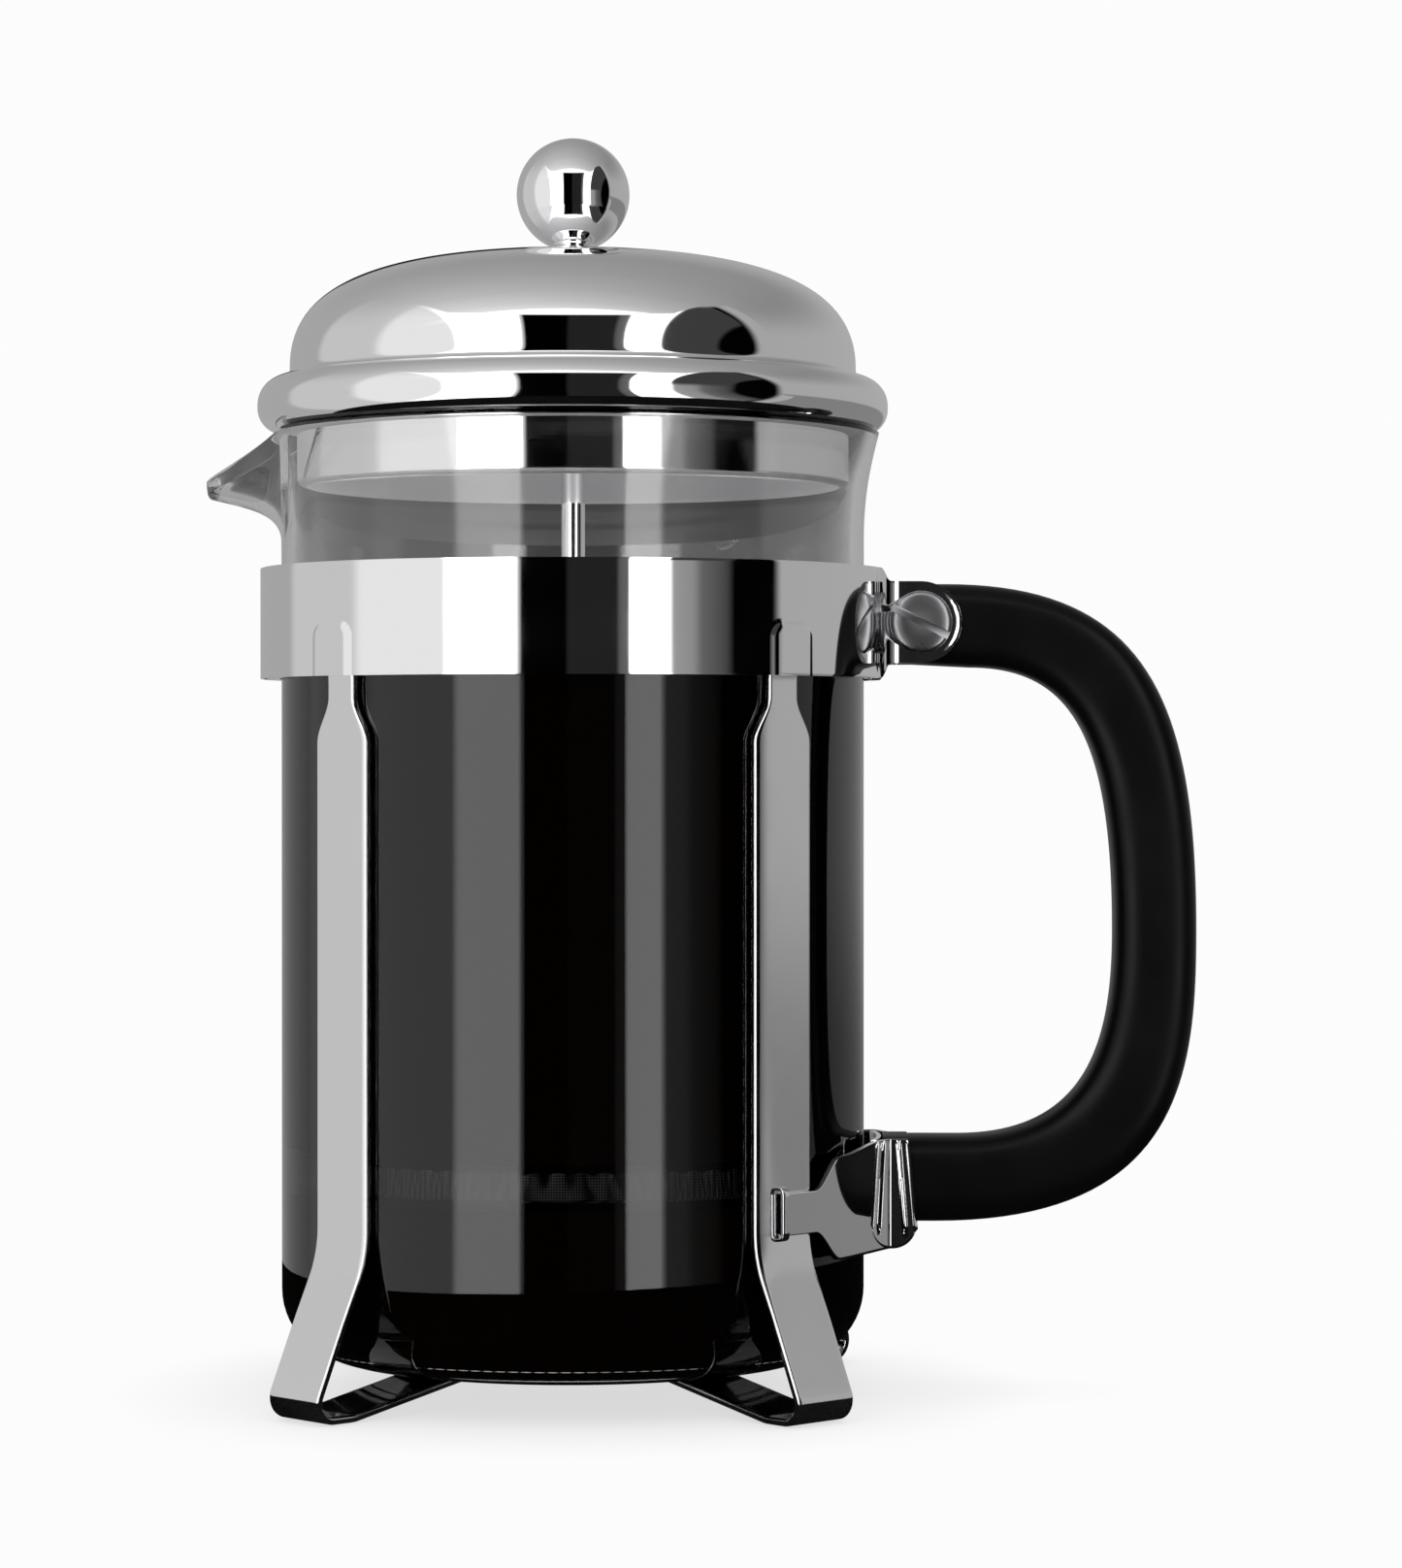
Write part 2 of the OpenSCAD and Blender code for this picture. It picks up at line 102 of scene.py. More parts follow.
class Nodes:
    """A material's node tree with its Principled shader."""

    def __init__(self, name):
        self.material = bpy.data.materials.new(name)
        self.material.use_nodes = True
        self.tree = self.material.node_tree
        self.shader = self.tree.nodes["Principled BSDF"]

    def add(self, kind, **settings):
        node = self.tree.nodes.new(kind)
        for key, value in settings.items():
            if hasattr(node, key):
                setattr(node, key, value)
            else:
                node.inputs[key].default_value = value
        return node

    def link(self, source, target):
        self.tree.links.new(source, target)

    def set(self, **values):
        for key, value in values.items():
            self.shader.inputs[key.replace("_", " ")].default_value = value

    def coordinates(self):
        return self.add("ShaderNodeTexCoord").outputs["Object"]

    def noise(self, scale, detail):
        node = self.add("ShaderNodeTexNoise", Scale=scale, Detail=detail)
        self.link(self.coordinates(), node.inputs["Vector"])
        return node.outputs["Fac"]

    def spread(self, value, low, high, from_low=0.3, from_high=0.7):
        """value carried from one range to another."""
        node = self.add("ShaderNodeMapRange")
        self.link(value, node.inputs["Value"])
        numbers = {"From Min": from_low, "From Max": from_high, "To Min": low, "To Max": high}
        for key, number in numbers.items():
            node.inputs[key].default_value = number
        return node.outputs["Result"]

    def bump(self, height, strength, distance):
        node = self.add("ShaderNodeBump", Strength=strength, Distance=distance)
        self.link(height, node.inputs["Height"])
        self.link(node.outputs["Normal"], self.shader.inputs["Normal"])


def bare_material(name, kind):
    """A material of one plain shader: returns the material, its node tree and the shader."""
    material = bpy.data.materials.new(name)
    material.use_nodes = True
    tree = material.node_tree
    tree.nodes.clear()
    shader = tree.nodes.new(kind)
    output = tree.nodes.new("ShaderNodeOutputMaterial")
    tree.links.new(shader.outputs[0], output.inputs["Surface"])
    return material, tree, shader


def chrome_material(name, tint, low, high):
    """Polished plate: a mirror with faint smears and a trace of waviness."""
    nodes = Nodes(name)
    nodes.set(Base_Color=tint, Metallic=1.0)
    nodes.link(nodes.spread(nodes.noise(90, 4), low, high), nodes.shader.inputs["Roughness"])
    nodes.bump(nodes.noise(45, 1), 0.04, 0.0003)
    return nodes.material


def steel_material():
    """Plain stamped steel of the filter's plates."""
    nodes = Nodes("stamped_steel")
    nodes.set(Base_Color=(0.62, 0.63, 0.64, 1), Metallic=1.0)
    nodes.link(nodes.spread(nodes.noise(400, 5), 0.22, 0.4), nodes.shader.inputs["Roughness"])
    nodes.bump(nodes.noise(1800, 2), 0.1, 0.00005)
    return nodes.material


def inside_material():
    """The lid's unpolished inner faces, a matt grey."""
    nodes = Nodes("lid_inside")
    nodes.set(Base_Color=(0.6, 0.6, 0.61, 1), Metallic=0.3)
    nodes.link(nodes.spread(nodes.noise(300, 4), 0.5, 0.62), nodes.shader.inputs["Roughness"])
    nodes.bump(nodes.noise(900, 2), 0.08, 0.00005)
    return nodes.material


def weave_material():
    """Woven wire cloth: fine waves along all three axes, crossed, with painted shade in the weave's low
    places.
    """
    nodes = Nodes("wire_cloth")
    nodes.set(Metallic=1.0, Roughness=0.32)
    height = None
    for direction in ("X", "Y", "Z"):
        wave = nodes.add("ShaderNodeTexWave", wave_type="BANDS", bands_direction=direction, Scale=700)
        nodes.link(nodes.coordinates(), wave.inputs["Vector"])
        if height is None:
            height = wave.outputs["Fac"]
            continue
        both = nodes.add("ShaderNodeMath", operation="MULTIPLY")
        nodes.link(height, both.inputs[0])
        nodes.link(wave.outputs["Fac"], both.inputs[1])
        height = both.outputs[0]
    # Painted shade: the base colour drops to dark grey 0.12 where the weave is low, between the wires, and
    # rises to 0.72 where it is high
    painted_shade = nodes.add("ShaderNodeMix", data_type="RGBA")
    painted_shade.inputs["A"].default_value = (0.12, 0.12, 0.12, 1)
    painted_shade.inputs["B"].default_value = (0.72, 0.72, 0.72, 1)
    nodes.link(nodes.spread(height, 0.0, 1.0, 0.0, 0.5), painted_shade.inputs["Factor"])
    nodes.link(painted_shade.outputs["Result"], nodes.shader.inputs["Base Color"])
    nodes.bump(height, 0.6, 0.0001)
    return nodes.material


def glass_material():
    """Clear glass, with the faint unevenness of blown and pressed ware."""
    nodes = Nodes("glass")
    nodes.set(Base_Color=(0.985, 0.985, 0.985, 1), Roughness=0.0, IOR=1.52, Transmission_Weight=1.0)
    nodes.bump(nodes.noise(14, 1), 0.012, 0.0003)
    return nodes.material


def handle_material():
    """Black moulded plastic with a fine satin grain."""
    nodes = Nodes("handle_plastic")
    nodes.set(Base_Color=(0.002, 0.002, 0.002, 1), Specular_IOR_Level=0.13)
    nodes.link(nodes.spread(nodes.noise(60, 3), 0.3, 0.42), nodes.shader.inputs["Roughness"])
    nodes.bump(nodes.noise(2600, 2), 0.12, 0.00006)
    return nodes.material


CHROME = chrome_material("chrome", (0.93, 0.93, 0.94, 1), 0.02, 0.06)
LEG_CHROME = chrome_material("leg_chrome", (0.9, 0.9, 0.91, 1), 0.05, 0.12)
SATIN = chrome_material("satin_chrome", (0.3, 0.3, 0.31, 1), 0.26, 0.34)
INSIDE = inside_material()
STEEL = steel_material()
WEAVE = weave_material()
GLASS = glass_material()
HANDLE = handle_material()

# ---- Mesh helpers ----


def polar(radius, azimuth, z):
    """A point at a distance from the glass's axis; azimuth is in degrees from +X."""
    a = math.radians(azimuth)
    return (radius * math.cos(a), radius * math.sin(a), z)


def arc(centre, radius, start, end, steps):
    """Points of an arc in a plane, from one angle to another, in degrees."""
    angles = [math.radians(start + (end - start) * i / steps) for i in range(steps + 1)]
    return [(centre[0] + radius * math.cos(a), centre[1] + radius * math.sin(a)) for a in angles]


def curve(p0, p1, p2, p3, steps):
    """Points of a cubic curve with end points p0 and p3."""
    points = []
    for i in range(steps + 1):
        t = i / steps
        u = 1 - t
        weights = (u**3, 3 * u * u * t, 3 * u * t * t, t**3)
        corners = (p0, p1, p2, p3)
        points.append(tuple(sum(w * p[k] for w, p in zip(weights, corners)) for k in range(len(p0))))
    return points


def line(p0, p1, steps):
    """Points of a straight line, both ends included."""
    return [tuple(a + (b - a) * i / steps for a, b in zip(p0, p1)) for i in range(steps + 1)]


def smooth(x):
    """0 below 0, 1 above 1, and an even step between."""
    x = min(max(x, 0.0), 1.0)
    return x * x * (3 - 2 * x)


def path_points(*stretches):
    """Stretches joined end to end, without doubled points."""
    points = []
    for stretch in stretches:
        for p in stretch:
            if not points or math.dist(points[-1], p) > 1e-4:
                points.append(p)
    return points


def grid_faces(rows, columns, wrap_rows=False, wrap_columns=False):
    """Faces of a grid of points listed row by row; wrapping joins the last row or column to the first."""
    faces = []
    for i in range(rows if wrap_rows else rows - 1):
        for j in range(columns if wrap_columns else columns - 1):
            i2, j2 = (i + 1) % rows, (j + 1) % columns
            faces.append((i * columns + j, i2 * columns + j, i2 * columns + j2, i * columns + j2))
    return faces


def mesh_object(name, points, faces):
    """A mesh of points in millimetres, with doubled points merged and its normals outwards."""
    mesh = bpy.data.meshes.new(name)
    mesh.from_pydata([(AXIS_X + x * MM, y * MM, z * MM) for x, y, z in points], [], faces)
    obj = bpy.data.objects.new(name, mesh)
    bpy.context.scene.collection.objects.link(obj)
    work = bmesh.new()
    work.from_mesh(mesh)
    bmesh.ops.remove_doubles(work, verts=work.verts, dist=1e-6)
    bmesh.ops.recalc_face_normals(work, faces=work.faces)
    work.to_mesh(mesh)
    work.free()
    return obj


def settle(obj, sharp):
    """Applies the modifiers, then shades smooth with sharp edges above an angle."""
    bpy.context.view_layer.update()
    depsgraph = bpy.context.evaluated_depsgraph_get()
    mesh = bpy.data.meshes.new_from_object(obj.evaluated_get(depsgraph))
    obj.modifiers.clear()
    obj.data = mesh
    mesh.shade_smooth()
    mesh.set_sharp_from_angle(angle=math.radians(sharp))
    return obj


def thicken(obj, thickness, offset):
    """Gives a surface its thickness, to both sides with offset 0 and inwards with -1."""
    modifier = obj.modifiers.new("thickness", "SOLIDIFY")
    modifier.thickness = thickness * MM
    modifier.offset = offset
    modifier.use_even_offset = True


def bevel(obj, width, segments, angle):
    """Rounds the edges that are sharper than an angle in degrees."""
    modifier = obj.modifiers.new("bevel", "BEVEL")
    modifier.width = width * MM
    modifier.segments = segments
    modifier.limit_method = "ANGLE"
    modifier.angle_limit = math.radians(angle)
    modifier.use_clamp_overlap = True


def finish_piece(obj, body, material, slot, *nodes):
    """Gives a piece its material, its body and the CAD nodes it stands for; the slot is not used."""
    obj.data.materials.clear()
    obj.data.materials.append(material)
    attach(obj, body)
    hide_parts(*nodes)


def revolve(name, section, steps, closed=True):
    """A section of (radius, height) points turned about the glass's axis."""
    points = [polar(r, 360 * i / steps, z) for i in range(steps) for r, z in section]
    return mesh_object(name, points, grid_faces(steps, len(section), True, closed))


def sheet(name, rows, thickness, edge):
    """A strip of sheet metal: the grid of its middle surface, given its thickness and rounded edges."""
    points = [p for row in rows for p in row]
    obj = mesh_object(name, points, grid_faces(len(rows), len(rows[0])))
    thicken(obj, thickness, 0)
    bevel(obj, edge, 3, 60)
    obj.modifiers.new("normals", "WEIGHTED_NORMAL").keep_sharp = True
    return settle(obj, 60)


def open_ring(name, section, start, end, steps):
    """A closed section swept round the glass's axis between two azimuths, with its ends closed."""
    count = len(section)
    points = [polar(r, start + (end - start) * i / steps, z) for i in range(steps + 1) for r, z in section]
    faces = grid_faces(steps + 1, count, False, True)
    faces.append(tuple(range(count)))
    faces.append(tuple(steps * count + j for j in reversed(range(count))))
    return mesh_object(name, points, faces)


def block(name, low, high):
    """A plain box between two corners."""
    corners = [(x, y, z) for x in (low[0], high[0]) for y in (low[1], high[1]) for z in (low[2], high[2])]
    sides = [(0, 1, 3, 2), (4, 6, 7, 5), (0, 4, 5, 1), (2, 3, 7, 6), (0, 2, 6, 4), (1, 5, 7, 3)]
    return mesh_object(name, corners, sides)


def join(first, *others):
    """Several meshes made one object."""
    work = bmesh.new()
    for obj in (first, *others):
        work.from_mesh(obj.data)
    work.to_mesh(first.data)
    work.free()
    for obj in others:
        bpy.data.objects.remove(obj)
    first.data.shade_smooth()
    first.data.set_sharp_from_angle(angle=math.radians(40))
    return first


# ---- Sizes from the frame ----

glass_low, glass_high = box_mm("glass_beaker")
GLASS_R = reach_mm("glass_beaker", 0, 100)
GLASS_Z = glass_low.z
RIM_Z = glass_high.z
RIM_R = glass_high.y
SPOUT_R = -glass_low.x

collar_low, collar_high = box_mm("collar_band")
COLLAR_T = 1.0
COLLAR_R = reach_mm("collar_band", collar_high.z - 1, collar_high.z)
POCKET_R = reach_mm("collar_band", collar_low.z, collar_low.z + 1)
LEG_AZIMUTHS = (45, 135, 225, 315)

dome_high = box_mm("lid_dome")[1]
skirt_low, skirt_high = box_mm("lid_skirt")
knob_high = box_mm("plunger_knob")[1]
insert_low, insert_high = box_mm("knob_insert")
handle_low, handle_high = box_mm("handle")
screw_low, screw_high = box_mm("handle_screw")
strip_high = box_mm("leg_strip_upper")[1]
bracket_low, bracket_high = box_mm("lower_bracket")
mesh_low, mesh_high = box_mm("mesh_screen")
spring_low, spring_high = box_mm("edge_spring")
ROD_R = (rod_high.x - rod_low.x) / 2 / MM

# ---- Beaker ----

GLASS_WALL = 2.3
GLASS_CORNER = 12
FLARE_Z = 146


def glass_profile():
    """Outer line of the glass, from the middle of its floor to its rim."""
    corner = arc((GLASS_R - GLASS_CORNER, GLASS_Z + GLASS_CORNER), GLASS_CORNER, -90, 0, 14)
    foot = (GLASS_R, FLARE_Z)
    flare = curve(foot, (GLASS_R, FLARE_Z + 8), (GLASS_R + 1.3, RIM_Z - 5), (RIM_R, RIM_Z), 30)
    return path_points(line((0, GLASS_Z), corner[0], 10), corner, line(corner[-1], foot, 24), flare)


SPOUT_FOOT_Z = RIM_Z - 19.2
SPOUT_OUT = SPOUT_R - GLASS_R
SPOUT_CHIN = (SPOUT_OUT - 1, 7.9)
SPOUT_TIP_UP = 10.9
# Half the spout's width at its foot, in degrees round the glass, and what it gains up to the rim
SPOUT_HALF_FOOT = 13
SPOUT_WIDENING = 13

# The spout's lower line in its middle plane, from the wall out and up round the blunt tip
SPOUT_LINE = path_points(
    curve((0, 0), (0.3, 5.6), (0.42 * SPOUT_OUT, 6.3), SPOUT_CHIN, 150),
    curve(SPOUT_CHIN, (SPOUT_OUT - 0.2, 8.1), (SPOUT_OUT, 8.8), (SPOUT_OUT, SPOUT_TIP_UP), 50),
)


def spouted(r, z, azimuth):
    """A point of the glass's outer face, drawn out into the spout near azimuth 180."""
    height = (z - SPOUT_FOOT_Z) / (RIM_Z - SPOUT_FOOT_Z)
    if height <= 0:
        return polar(r, azimuth, z)
    half_width = SPOUT_HALF_FOOT + SPOUT_WIDENING * height
    share = smooth(1 - abs(azimuth - 180) / half_width) ** 1.25
    last = len(SPOUT_LINE) - 1
    out, up = SPOUT_LINE[min(round(height * last), last)]
    r += (GLASS_R + out - r) * share
    z += (SPOUT_FOOT_Z + up - z) * share**0.65
    return polar(r, azimuth, z)


def make_glass():
    profile = glass_profile()
    steps = 360
    points = [spouted(r, z, 360 * i / steps) for i in range(steps) for r, z in profile]
    glass = mesh_object("beaker_glass", points, grid_faces(steps, len(profile), True))
    thicken(glass, GLASS_WALL, -1)
    bevel(glass, 0.9, 4, 60)
    settle(glass, 60)
    finish_piece(glass, "beaker", GLASS, "glass", "glass_beaker")


# ---- Collar ----

LUG_X = (screw_low.x + screw_high.x) / 2
LUG_Z = (screw_low.z + screw_high.z) / 2
LUG_Y = handle_high.y + COLLAR_T / 2
LUG_HALF = 6.95
COVE_R = 5.0
# Where the band narrows to the lug's height: how far before the ring's end, and over what length
NARROW_AHEAD = 1.2
NARROW_OVER = 1.8


def band_plan():
    """The band's middle line from above, from the tip of one lug round the glass to the other's."""
    middle = COLLAR_R - COLLAR_T / 2
    cove_y = LUG_Y + COVE_R
    cove_x = math.sqrt((middle + COVE_R) ** 2 - cove_y**2)
    turn = math.degrees(math.atan2(cove_y, cove_x))
    tip = [(LUG_X + LUG_HALF * math.sin(math.radians(a)), LUG_Y) for a in range(88, -1, -8)]
    side = path_points(
        tip,
        line(tip[-1], (cove_x, LUG_Y), 4),
        arc((cove_x, cove_y), COVE_R, 270, 180 + turn, 14),
    )
    ring = arc((0, 0), middle, turn, 360 - turn, 640)
    other = [(x, -y) for x, y in reversed(side)]
    return path_points(side, ring, other)


def band_limits(x):
    """Lower and upper edge of the band where its plan reaches x."""
    if x > LUG_X:
        half = math.sqrt(max(LUG_HALF**2 - (x - LUG_X) ** 2, 0.01))
        return LUG_Z - half, LUG_Z + half
    share = smooth((x - COLLAR_R + NARROW_AHEAD) / NARROW_OVER)
    return (
        collar_low.z + (LUG_Z - LUG_HALF - collar_low.z) * share,
        collar_high.z + (LUG_Z + LUG_HALF - collar_high.z) * share,
    )


POCKET_HALF = 4.3
POCKET_TOP = collar_low.z + 8.5
# The pocket's top is straight this far to each side of its middle, and then turns down
POCKET_CROWN = 2.2


def pocket_depth(azimuth, z):
    """How far the band is pressed outwards at a leg's pocket."""
    away = min(abs((azimuth - a + 180) % 360 - 180) for a in LEG_AZIMUTHS)
    across = math.radians(away) * COLLAR_R
    side = smooth((POCKET_HALF - across) / 0.8 + 0.5)
    top_z = POCKET_TOP - max(across - POCKET_CROWN, 0) ** 2 * 0.35
    return (POCKET_R - COLLAR_R) * side * smooth((top_z - z) / 0.9 + 0.5)


# The lug's outer rim is dished a little towards the handle, from this radius round the screw
DISH_R = 5.6
DISH_DEPTH = 0.22
BAND_ROWS = 36
HEM_HALF = 0.5
HEM_AZIMUTHS = (16, 344)


def lug_dish(x, z):
    """How far the lug's rim is set back."""
    if x <= LUG_X:
        return 0
    return DISH_DEPTH * smooth((math.hypot(x - LUG_X, z - LUG_Z) - DISH_R) / 1.1)


def make_collar():
    """The band with its lugs and pockets, and a hem turned in along each edge."""
    rows = []
    for x, y in band_plan():
        low, high = band_limits(x)
        row = []
        for j in range(BAND_ROWS + 1):
            z = low + (high - low) * j / BAND_ROWS
            out = pocket_depth(math.degrees(math.atan2(y, x)) % 360, z)
            scale = 1 + out / math.hypot(x, y)
            row.append((x * scale, y * scale - math.copysign(lug_dish(x, z), y), z))
        rows.append(row)
    collar = sheet("collar", rows, COLLAR_T, 0.3)
    hems = []
    near, far = GLASS_R + 0.4, COLLAR_R - 0.6
    for z in (collar_low.z + HEM_HALF, collar_high.z - HEM_HALF):
        section = [(near, z - HEM_HALF), (far, z - HEM_HALF), (far, z + HEM_HALF), (near, z + HEM_HALF)]
        hems.append(open_ring("hem", section, *HEM_AZIMUTHS, 180))
    join(collar, *hems)
    finish_piece(collar, "frame", CHROME, "chrome", "collar_band")


# ---- Legs ----

STRIP_W = 12.6
STRIP_T = 1.2
NECK_HALF = 3.15
LEG_R = GLASS_R + 1.05
LEG_SLOPE = 23.5
CROWN = 0.25
BEND_R = 20
BEND_Z = 31
HEEL_R = 3.0
FOOT_FLAT = 3.6
TOE_R = 8
TOE_RISE = 11
RUN_Z = GLASS_Z - STRIP_T / 2
# Where the run under the glass steps down for the strip that crosses below the other
JOG_OUT = 14
JOG_IN = 9
# A leg is crowned from this height up, over this length
CROWN_Z = 14
CROWN_OVER = 10
# The strip narrows to its neck from this far below the collar, over this height
SHOULDER_DROP = 11
SHOULDER_TALL = 7.5


def leg_line(run_z):
    """Middle line of a leg in its own plane, from its top to the middle of the run under the glass."""
    slope = math.radians(LEG_SLOPE)
    down, out = math.sin(slope), math.cos(slope)
    knee = (LEG_R + BEND_R * (1 - out), BEND_Z - BEND_R * down)
    floor = STRIP_T / 2
    heel_z = floor + HEEL_R
    heel_x = knee[0] + (knee[1] - heel_z - HEEL_R * down) * math.tan(slope) - HEEL_R * out
    toe_x = heel_x - FOOT_FLAT
    toe = arc((toe_x, floor + TOE_R), TOE_R, -90, -90 - TOE_RISE, 5)
    run_start = (toe[-1][0] - (RUN_Z - toe[-1][1]) / math.tan(math.radians(TOE_RISE)), RUN_Z)
    pocket_x = LEG_R + POCKET_R - COLLAR_R
    pocket_z, step_z, wall_z = collar_low.z + 3, collar_low.z + 1, collar_low.z - 1.5
    neck_z = collar_low.z - 12
    jog = (JOG_OUT + JOG_IN) / 2
    return path_points(
        line((pocket_x, strip_high.z), (pocket_x, pocket_z), 4),
        curve((pocket_x, pocket_z), (pocket_x, step_z), (LEG_R, step_z), (LEG_R, wall_z), 8),
        line((LEG_R, wall_z), (LEG_R, neck_z), 24),
        line((LEG_R, neck_z), (LEG_R, BEND_Z), 30),
        arc((LEG_R + BEND_R, BEND_Z), BEND_R, 180, 180 + LEG_SLOPE, 14),
        line(knee, (heel_x + HEEL_R * out, heel_z + HEEL_R * down), 10),
        arc((heel_x, heel_z), HEEL_R, LEG_SLOPE, -90, 16),
        line((heel_x, floor), (toe_x, floor), 3),
        toe,
        line(toe[-1], run_start, 10),
        line(run_start, (JOG_OUT, RUN_Z), 6),
        curve((JOG_OUT, RUN_Z), (jog, RUN_Z), (jog, run_z), (JOG_IN, run_z), 8),
        line((JOG_IN, run_z), (0, run_z), 4),
    )


def leg_half_width(x, z):
    """Half width of a strip at a place of its middle line: narrow at the neck."""
    full = STRIP_W / 2
    if x < LEG_R - 3:
        return full
    return full + (NECK_HALF - full) * smooth((z - collar_low.z + SHOULDER_DROP) / SHOULDER_TALL)


def leg_point(along, across, z, azimuth):
    """A point of a leg, from its distance out in the leg's own plane and across it."""
    a = math.radians(azimuth)
    return (along * math.cos(a) - across * math.sin(a), along * math.sin(a) + across * math.cos(a), z)


def make_strip(name, azimuth, run_z):
    """A bent strip: a leg, the run under the glass and the opposite leg, crowned where it stands upright."""
    rows = []
    columns = 12
    half_line = leg_line(run_z)
    both = [(x, z, 1) for x, z in half_line] + [(x, z, -1) for x, z in reversed(half_line[:-1])]
    for x, z, side in both:
        half = leg_half_width(x, z)
        upright = smooth((z - CROWN_Z) / CROWN_OVER)
        row = []
        for j in range(columns + 1):
            across = -half + 2 * half * j / columns
            along = side * (x - upright * CROWN * (2 * across / STRIP_W) ** 2)
            row.append(leg_point(along, across, z, azimuth))
        rows.append(row)
    return sheet(name, rows, STRIP_T, 0.28)


BRACKET_T = 0.9
TAB_LOW = bracket_low.z + 5.2
TAB_HIGH = bracket_high.z - 6.5
LOOP_X = LEG_R + STRIP_T / 2
LOOP_TOP = LOOP_X + BRACKET_T + 0.5
LOOP_HALF = 0.75


def loop_end(edge, way):
    """One end of a loop, from the strip to its flat top; way is 1 at the upper end and -1 at the lower."""
    foot = [(LOOP_X - 0.3, edge + way)]
    rise = curve((LOOP_X, edge + 0.8 * way), (LOOP_TOP, edge + 0.7 * way), (LOOP_TOP, edge + 0.3 * way),
                 (LOOP_TOP, edge - 0.8 * way), 8)
    return foot + rise


def make_loop(azimuth, side):
    """The raised loop of a leg that holds the bracket's tab; side is where it stands across the leg."""
    lower, upper = loop_end(TAB_LOW, -1), loop_end(TAB_HIGH, 1)
    points = path_points(lower, line(lower[-1], upper[-1], 6), reversed(upper))
    places = (side - LOOP_HALF, side, side + LOOP_HALF)
    rows = [[leg_point(x, across, z, azimuth) for across in places] for x, z in points]
    return sheet("loop", rows, 0.5, 0.08)


def make_legs():
    strips = (("leg_strip_upper", 45, RUN_Z, 1), ("leg_strip_lower", 315, RUN_Z - STRIP_T, -1))
    for node, azimuth, run_z, loop_side in strips:
        strip = make_strip(node.replace("leg_strip", "legs"), azimuth, run_z)
        join(strip, make_loop(azimuth, loop_side))
        finish_piece(strip, "frame", LEG_CHROME, "chrome", node)


def make_rivet():
    low, high = box_mm("base_rivet")
    r, shank, edge_z = high.x, 2, low.z + 1.2
    section = path_points(
        [(0, high.z), (shank, high.z), (shank, edge_z), (r, edge_z)],
        curve((r, edge_z), (r, low.z + 0.4), (r * 0.6, low.z), (0, low.z), 8),
    )
    rivet = settle(revolve("rivet", section, 48, False), 38)
    finish_piece(rivet, "frame", STEEL, "filter_steel", "base_rivet")


# ---- Handle ----

HANDLE_MID_Z = 79
HANDLE_TOP = handle_high.z
HANDLE_BOTTOM = handle_low.z
HANDLE_REACH = handle_high.x
HANDLE_THICK = 14.2
HANDLE_ROUND = 3.6
ARM_X = GLASS_R + 12
TOP_END_X = GLASS_R + 4.2
LOW_END_X = GLASS_R + 3.2


def handle_lines():
    """Outer and inner line of the handle, as matching lists of points."""
    top, low, reach = HANDLE_TOP, HANDLE_BOTTOM, HANDLE_REACH
    outer_line = path_points(
        line((TOP_END_X, top), (ARM_X + 2, top), 6),
        curve((ARM_X + 2, top), (reach - 8.2, top), (reach, 118), (reach, HANDLE_MID_Z), 40),
        curve((reach, HANDLE_MID_Z), (reach, 55), (reach - 2, low), (ARM_X, low), 40),
        line((ARM_X, low), (LOW_END_X, low), 6),
    )
    end_top, top, low, reach = top - 13.6, top - 14.3, low + 14.8, reach - HANDLE_THICK
    inner_line = path_points(
        line((TOP_END_X, end_top), (ARM_X + 6, top), 6),
        curve((ARM_X + 6, top), (reach - 8, top), (reach, 114), (reach, HANDLE_MID_Z), 40),
        curve((reach, HANDLE_MID_Z), (reach, 60), (reach - 4, low), (ARM_X + 4, low), 40),
        line((ARM_X + 4, low), (LOW_END_X, low), 6),
    )
    return outer_line, inner_line


def make_handle():
    """The handle: a rounded rectangle at each pair of points of its outer and inner line."""
    around = 48
    outline = []
    for k in range(around):
        a = 2 * math.pi * k / around
        outline.append([math.copysign(abs(c) ** (2 / HANDLE_ROUND), c) for c in (math.cos(a), math.sin(a))])
    points = []
    outer_line, inner_line = handle_lines()
    for (x1, z1), (x2, z2) in zip(outer_line, inner_line):
        mx, mz = (x1 + x2) / 2, (z1 + z2) / 2
        hx, hz = (x1 - x2) / 2, (z1 - z2) / 2
        points += [(mx + u * hx, v * handle_high.y, mz + u * hz) for u, v in outline]
    count = len(outer_line)
    faces = grid_faces(count, around, False, True)
    faces.append(tuple(range(around)))
    faces.append(tuple((count - 1) * around + k for k in reversed(range(around))))
    handle = settle(mesh_object("handle_grip", points, faces), 50)
    finish_piece(handle, "frame", HANDLE, "handle_plastic", "handle")


SLOT_ANGLE = 27
SLOT_WIDTH = 1.3
SHANK_LONG = 10


